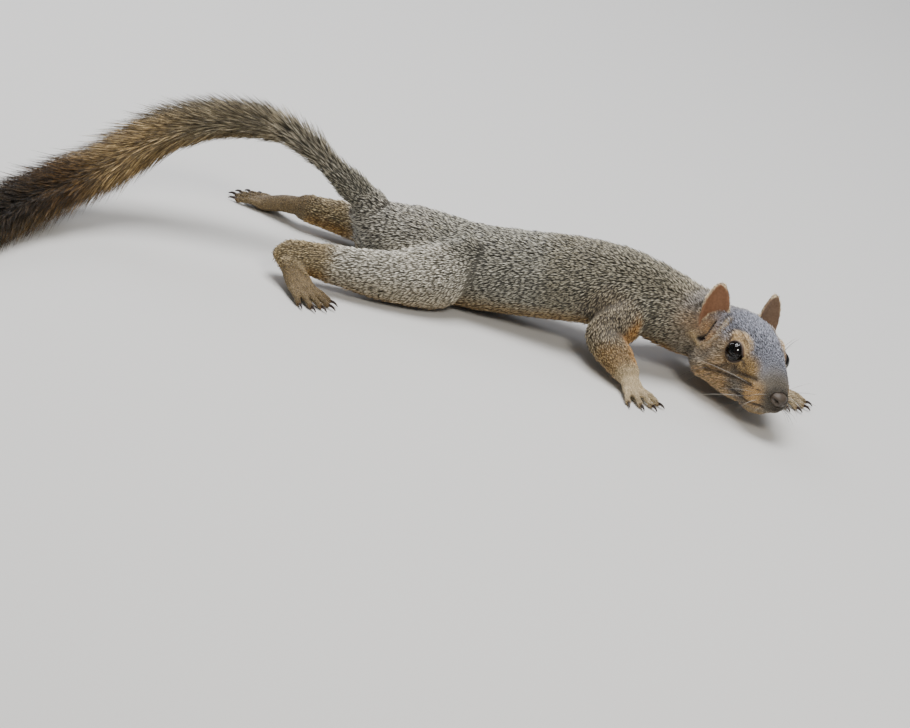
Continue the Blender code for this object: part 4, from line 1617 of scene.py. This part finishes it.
@dataclass
class Eye:
    """An eyeball with a sunk iris under a clear cornea, and the lids round it.

    The profile of the lids is given by degrees beyond their edge and millimetres off the ball.
    """

    anatomy: Anatomy
    side: Side
    across: int = 64
    rings: int = 40
    iris_angle: float = 52.0
    pupil_angle: float = 27.0
    globe_gap: float = 0.22
    iris_dip: float = 0.5
    pupil_dip: float = 0.25
    profile: tuple[tuple[float, float], ...] = (
        (-2.0, -0.25), (0.0, 0.12), (2.5, 0.34), (6.5, 0.46), (12.0, 0.42),
        (19.0, 0.20), (27.0, -0.25), (34.0, -1.1), (20.0, -1.2), (4.0, -0.9),
    )

    def build(self) -> None:
        """Makes the globe with its sunk iris, the clear cornea and the lids."""
        word, radius = self.side.word, self.anatomy.eye_radius
        self.centre, self.axes = self.anatomy.eyes[self.side], self.anatomy.gaze_axes(self.side)
        angles = np.linspace(3, 176, self.rings)
        iris = smooth_step(angles, self.iris_angle + 4, self.iris_angle - 6)
        pupil = smooth_step(angles, self.pupil_angle, self.pupil_angle - 4)
        sunk = radius - self.globe_gap - self.iris_dip * iris - self.pupil_dip * pupil
        globe = self._ball(f"eyeball_{word}", sunk, angles, IrisFinish("dark_iris", 0.5))
        shown(globe, "eye", f"eye_{word}")
        clear = CorneaFinish("wet_cornea", 0.0)
        shown(self._ball(f"cornea_{word}", np.full(self.rings, radius), angles, clear), "eye")
        shown(self._lids(), "nose")

    def _at(self, radius: float, angle: float, turn: float) -> Vector:
        """A place round the eye.

        Args:
            radius: Its distance from the eye's middle, in millimetres.
            angle: Its angle from the axis of sight, in degrees.
            turn: Its direction round that axis, in radians.

        Returns:
            The place, in metres.
        """
        angle = math.radians(angle)
        aside = math.sin(angle)
        way = np.array([math.cos(angle), aside * math.cos(turn), aside * math.sin(turn)])
        return Vector((self.centre + way @ self.axes * radius) * MM)

    def _turns(self) -> list[float]:
        """The directions round the axis of sight in which corners lie."""
        return [2 * math.pi * k / self.across for k in range(self.across)]

    def _ball(
        self, name: str, radii: np.ndarray, angles: np.ndarray, finish: Finish
    ) -> bpy.types.Object:
        """A ball round the axis of sight whose radius changes with the angle from that axis.

        Args:
            name: The piece's name.
            radii: The radius of each ring of corners.
            angles: The ring's angle, in degrees.
            finish: What it is made of.

        Returns:
            The piece, which carries those angles as its attribute "gaze".
        """
        bm = bmesh.new()
        rows = [
            [bm.verts.new(self._at(radius, angle, turn)) for turn in self._turns()]
            for radius, angle in zip(radii, angles)
        ]
        ends = [bm.verts.new(self._at(radii[0], 0, 0)), bm.verts.new(self._at(radii[-1], 180, 0))]
        weave(bm, rows)
        cap(bm, rows[0], ends[0])
        cap(bm, rows[-1], ends[1])
        mesh = smooth_mesh(bm, name)
        put_attributes(mesh, {"gaze": np.append(np.repeat(angles, self.across), [0.0, 180.0])})
        mesh.materials.append(finish.material())
        return linked(name, mesh)

    def _lids(self) -> bpy.types.Object:
        """A rounded rim that hugs the ball, almond-shaped, with its corner towards the nose.

        Returns:
            The piece.
        """
        bm = bmesh.new()
        rows, shade = [], []
        for turn in self._turns():
            edge = self.anatomy.lids.edge(turn)
            corner = smooth_step(edge, 70, 80)
            radius = self.anatomy.eye_radius
            rows.append([
                bm.verts.new(self._at(radius + lift, edge + more, turn)) for more, lift in self.profile
            ])
            shade += [smooth_step(more, 3.0, 9.0) * (1 - corner) for more, _ in self.profile]
        weave(bm, rows, around=True)
        mesh = smooth_mesh(bm, f"eyelids_{self.side.word}")
        put_attributes(mesh, {"hairy": np.array(shade)})
        mesh.materials.append(LidFinish("bare_lid_skin", 0.45).material())
        return linked(mesh.name, mesh)


@dataclass
class NosePad:
    """The bare pad, with comma-shaped nostrils and a groove between them."""

    anatomy: Anatomy
    across: int = 56
    rings: int = 36
    swell: float = 1.02

    def build(self) -> None:
        """Makes the pad in place of its solid."""
        local = self.anatomy.in_head(places_of("nose"))
        low, high = local.min(axis=0), local.max(axis=0)
        centre, radii = (low + high) / 2, (high - low) / 2
        bm = bmesh.new()
        bmesh.ops.create_uvsphere(bm, u_segments=self.across, v_segments=self.rings, radius=1.0)
        nostril_shade = []
        for vert in bm.verts:
            spot, depth = self._shaped(np.array(vert.co))
            vert.co = Vector(self.anatomy.from_head(centre + spot * radii * self.swell)) * MM
            nostril_shade.append(depth)
        mesh = smooth_mesh(bm, "nose_pad")
        # inner: how far into a nostril, painted as shade by the nose's finish.
        put_attributes(mesh, {"inner": np.array(nostril_shade)})
        mesh.materials.append(NoseFinish("bare_nose_skin", 0.42).material())
        shown(linked("nose_pad", mesh), "nose", "nose")

    @staticmethod
    def _shaped(spot: np.ndarray) -> tuple[np.ndarray, float]:
        """Dents a ball of radius 1 with the nostrils, their tails and the groove.

        Args:
            spot: A point of the ball: forwards, to the left, and up.

        Returns:
            Where the point goes, and how far it is inside a nostril.
        """
        ahead, left, up = spot
        side = abs(left)
        slant = up + 0.12 - 0.5 * (side - 0.5)
        nostril = math.exp(-(((side - 0.56) / 0.18) ** 2 + (slant / 0.2) ** 2))
        tail = math.exp(-(((side - 0.82) / 0.18) ** 2 + ((up - 0.08) / 0.11) ** 2))
        groove = math.exp(-((left / 0.10) ** 2)) * smooth_step(up, 0.5, -0.3)
        front = smooth_step(ahead, 0.0, 0.3)
        dented = spot * (1 - front * (0.5 * nostril + 0.25 * tail + 0.1 * groove))
        return dented * (1, 1, 1 + 0.12 * side), front * max(nostril, tail, 0.5 * groove)


@dataclass
class Claws:
    """The horn claws, rounded from their solids."""

    anatomy: Anatomy
    levels: int = 2

    def build(self) -> None:
        """Makes one piece for each foot."""
        horn = HornFinish("dark_horn", 0.3).material()
        for foot in ("forepaw_left", "forepaw_right", "hind_foot_left", "hind_foot_right"):
            solids = [name for name in self.anatomy.claws if foot in name]
            piece = gathered(f"claws_{foot}", solids)
            rounder = piece.modifiers.new("round", "SUBSURF")
            rounder.levels = rounder.render_levels = self.levels
            settled(piece).data.shade_smooth()
            piece.data.materials.clear()
            piece.data.materials.append(horn)
            shown(piece, "claw", *solids)


@dataclass
class Whiskers:
    """Stiff hairs on the muzzle, over the eyes and on the cheeks."""

    anatomy: Anatomy
    skin: Skin
    rows: int = 4
    in_row: int = 4
    thickness: float = 0.17
    seed: int = 41
    finish: HairFinish = HairFinish(
        "whisker_hair", root=0.0, rise_end=0.2, fall_start=0.9, fall_end=1.0, tip=0.8,
        base=0.0, wander=0.0, dimmest=0.9, brightest=1.1,
    )

    def build(self) -> None:
        """Stands a whisker on each root, by the tree that stands the coat's tufts."""
        roots, ways, reaches = (np.array(column) for column in zip(*self._stands()))
        count = len(roots)
        dark, pale = (np.tile(paint(code), (count, 1)) for code in ("1A1512", "A39C92"))
        third = (np.arange(count) % 3 == 0)[:, None]
        values = {
            "way": ways,
            "out": np.tile(self.anatomy.axes[2], (count, 1)),
            "reach": reaches,
            "width": np.full(count, self.thickness),
            "dark": dark,
            "light": np.where(third, pale, dark),
            "root_uv": np.linspace((0.05, 0.5, 0), (0.95, 0.5, 0), count),
        }
        mesh = bpy.data.meshes.new("whiskers")
        mesh.from_pydata((roots * MM).tolist(), [], [])
        put_attributes(mesh, values)
        rings = tuple((height, 0.5 * (1 - height**1.4) + 0.06) for height in np.linspace(0, 0.9, 8))
        template = Tuft("whisker_template", rings, bend=-22.0, ridge=0.85).build()
        inputs = {"Tuft": template, "Ruffle": 0.06, "Seed": self.seed, "Finish": self.finish.material()}
        CoatTree(scattered=False).grow("whiskers", mesh, inputs, "coat")
        bpy.data.objects.remove(template)

    def _stands(self) -> list[tuple[np.ndarray, np.ndarray, float]]:
        """Finds where the whiskers stand on the skin.

        Returns:
            A place, a direction and a length for each whisker.
        """
        points = self.skin.surface.points
        head = self.anatomy.in_head(points)
        found = []
        for side in Side:
            for at, way, reach in self._rows():
                mirror = np.array((1, side.value, 1))
                nearest = np.linalg.norm(head - at * mirror, axis=1).argmin()
                found.append((points[nearest], unit(way * mirror) @ self.anatomy.axes, reach))
        return found

    def _rows(self) -> list[tuple[tuple, tuple, float]]:
        """The left side's whiskers in the head's frame.

        Returns:
            A place, a direction and a length for each.
        """
        rows = []
        for row in range(self.rows):
            for place in range(self.in_row):
                back = place / (self.in_row - 1)
                at = (53.5 - 9.5 * back, 5.6 + 3.6 * back, -1.5 - 2.1 * row)
                way = (0.3 - 0.9 * back, 0.9, 0.1 - 0.15 * row)
                rows.append((at, way, 13 + 17 * back - 2.0 * row))
        rows += [((27 + 2.5 * k, 10.5, 13.5), (-0.3, 0.6, 0.75), 13 - 2 * k) for k in range(3)]
        rows += [((22 - 4 * k, 19, -9), (-0.3, 1.0, -0.35), 15) for k in range(2)]
        return rows


@dataclass
class Studio:
    """Floor, soft light and camera.

    Lengths of the camera are in millimetres. A lamp has a name, a place and a width in metres, a
    power in watts and a colour, and looks at the place lit.
    """

    lamps: tuple[tuple[str, tuple[float, float, float], float, float, str], ...] = (
        ("overhead", (-0.1, 0.12, 1.5), 0.9, 33.0, "F9F9FC"),
        ("front", (0.35, -0.95, 1.0), 0.34, 8.5, "FFF9F0"),
        ("behind", (-0.7, 1.1, 0.8), 0.7, 8.0, "F0F3FF"),
    )
    lit: tuple[float, float, float] = (0.0, 0.0, 0.03)
    sky: str = "E8EAEE"
    sky_strength: float = 0.32
    target: tuple[float, float, float] = (17.0, 0.0, -32.0)
    elevation: float = 20.0
    roll: float = 18.0
    lens: float = 200.0
    sensor: float = 36.0
    frame_width: float = 455.0

    def build(self) -> None:
        """Sets the stage."""
        self._floor()
        self._lights()
        self._camera()

    @staticmethod
    def _floor(half: float = 4.0) -> None:
        """A plain pale floor.

        Args:
            half: Half its width, in metres.
        """
        mesh = bpy.data.meshes.new("floor")
        corners = [(-half, -half, 0), (half, -half, 0), (half, half, 0), (-half, half, 0)]
        mesh.from_pydata(corners, [], [(0, 1, 2, 3)])
        mesh.materials.append(FloorFinish("matt_pale_floor", 0.85).material())
        linked("floor", mesh)

    def _lights(self) -> None:
        """A wide sky-like light above, a softer one in front and a faint one behind."""
        for name, at, size, power, colour in self.lamps:
            lamp = bpy.data.lights.new(name, "AREA")
            lamp.size, lamp.energy, lamp.color = size, power, paint(colour)[:3]
            made = linked(name, lamp)
            made.location = at
            aim = Vector(self.lit) - Vector(at)
            made.rotation_euler = aim.to_track_quat("-Z", "Y").to_euler()
        world = bpy.data.worlds.new("soft_sky")
        world.use_nodes = True
        feed(world.node_tree.nodes["Background"], {0: paint(self.sky), 1: self.sky_strength})
        bpy.context.scene.world = world

    def _camera(self) -> None:
        """Looks from the animal's right side, from above, turned with the slope it lay on."""
        raised = math.radians(self.elevation)
        back = Vector((0, -math.cos(raised), math.sin(raised)))
        distance = self.frame_width * self.lens / self.sensor * MM
        lens = bpy.data.cameras.new("camera")
        lens.lens, lens.sensor_width = self.lens, self.sensor
        lens.clip_start, lens.clip_end = 0.05, 50
        made = linked("camera", lens)
        made.location = Vector(self.target) * MM + back * distance
        made.rotation_mode = "QUATERNION"
        level = (-back).to_track_quat("-Z", "Y")
        made.rotation_quaternion = level @ Quaternion((0, 0, 1), math.radians(self.roll))
        bpy.context.scene.camera = made


def main() -> None:
    """Builds the squirrel's looks in order."""
    logging.basicConfig(level=logging.INFO, format="%(message)s")
    anatomy = Anatomy()
    skin = Skin(anatomy)
    skin.build()
    log.info("skin: %d points", len(skin.surface.points))
    markings = Markings(skin)
    markings.build()
    skin.dress(markings)
    Coat(skin, markings).build()
    for side in Side:
        Eye(anatomy, side).build()
    NosePad(anatomy).build()
    Claws(anatomy).build()
    Whiskers(anatomy, skin).build()
    Studio().build()


if __name__ == "__main__":
    main()
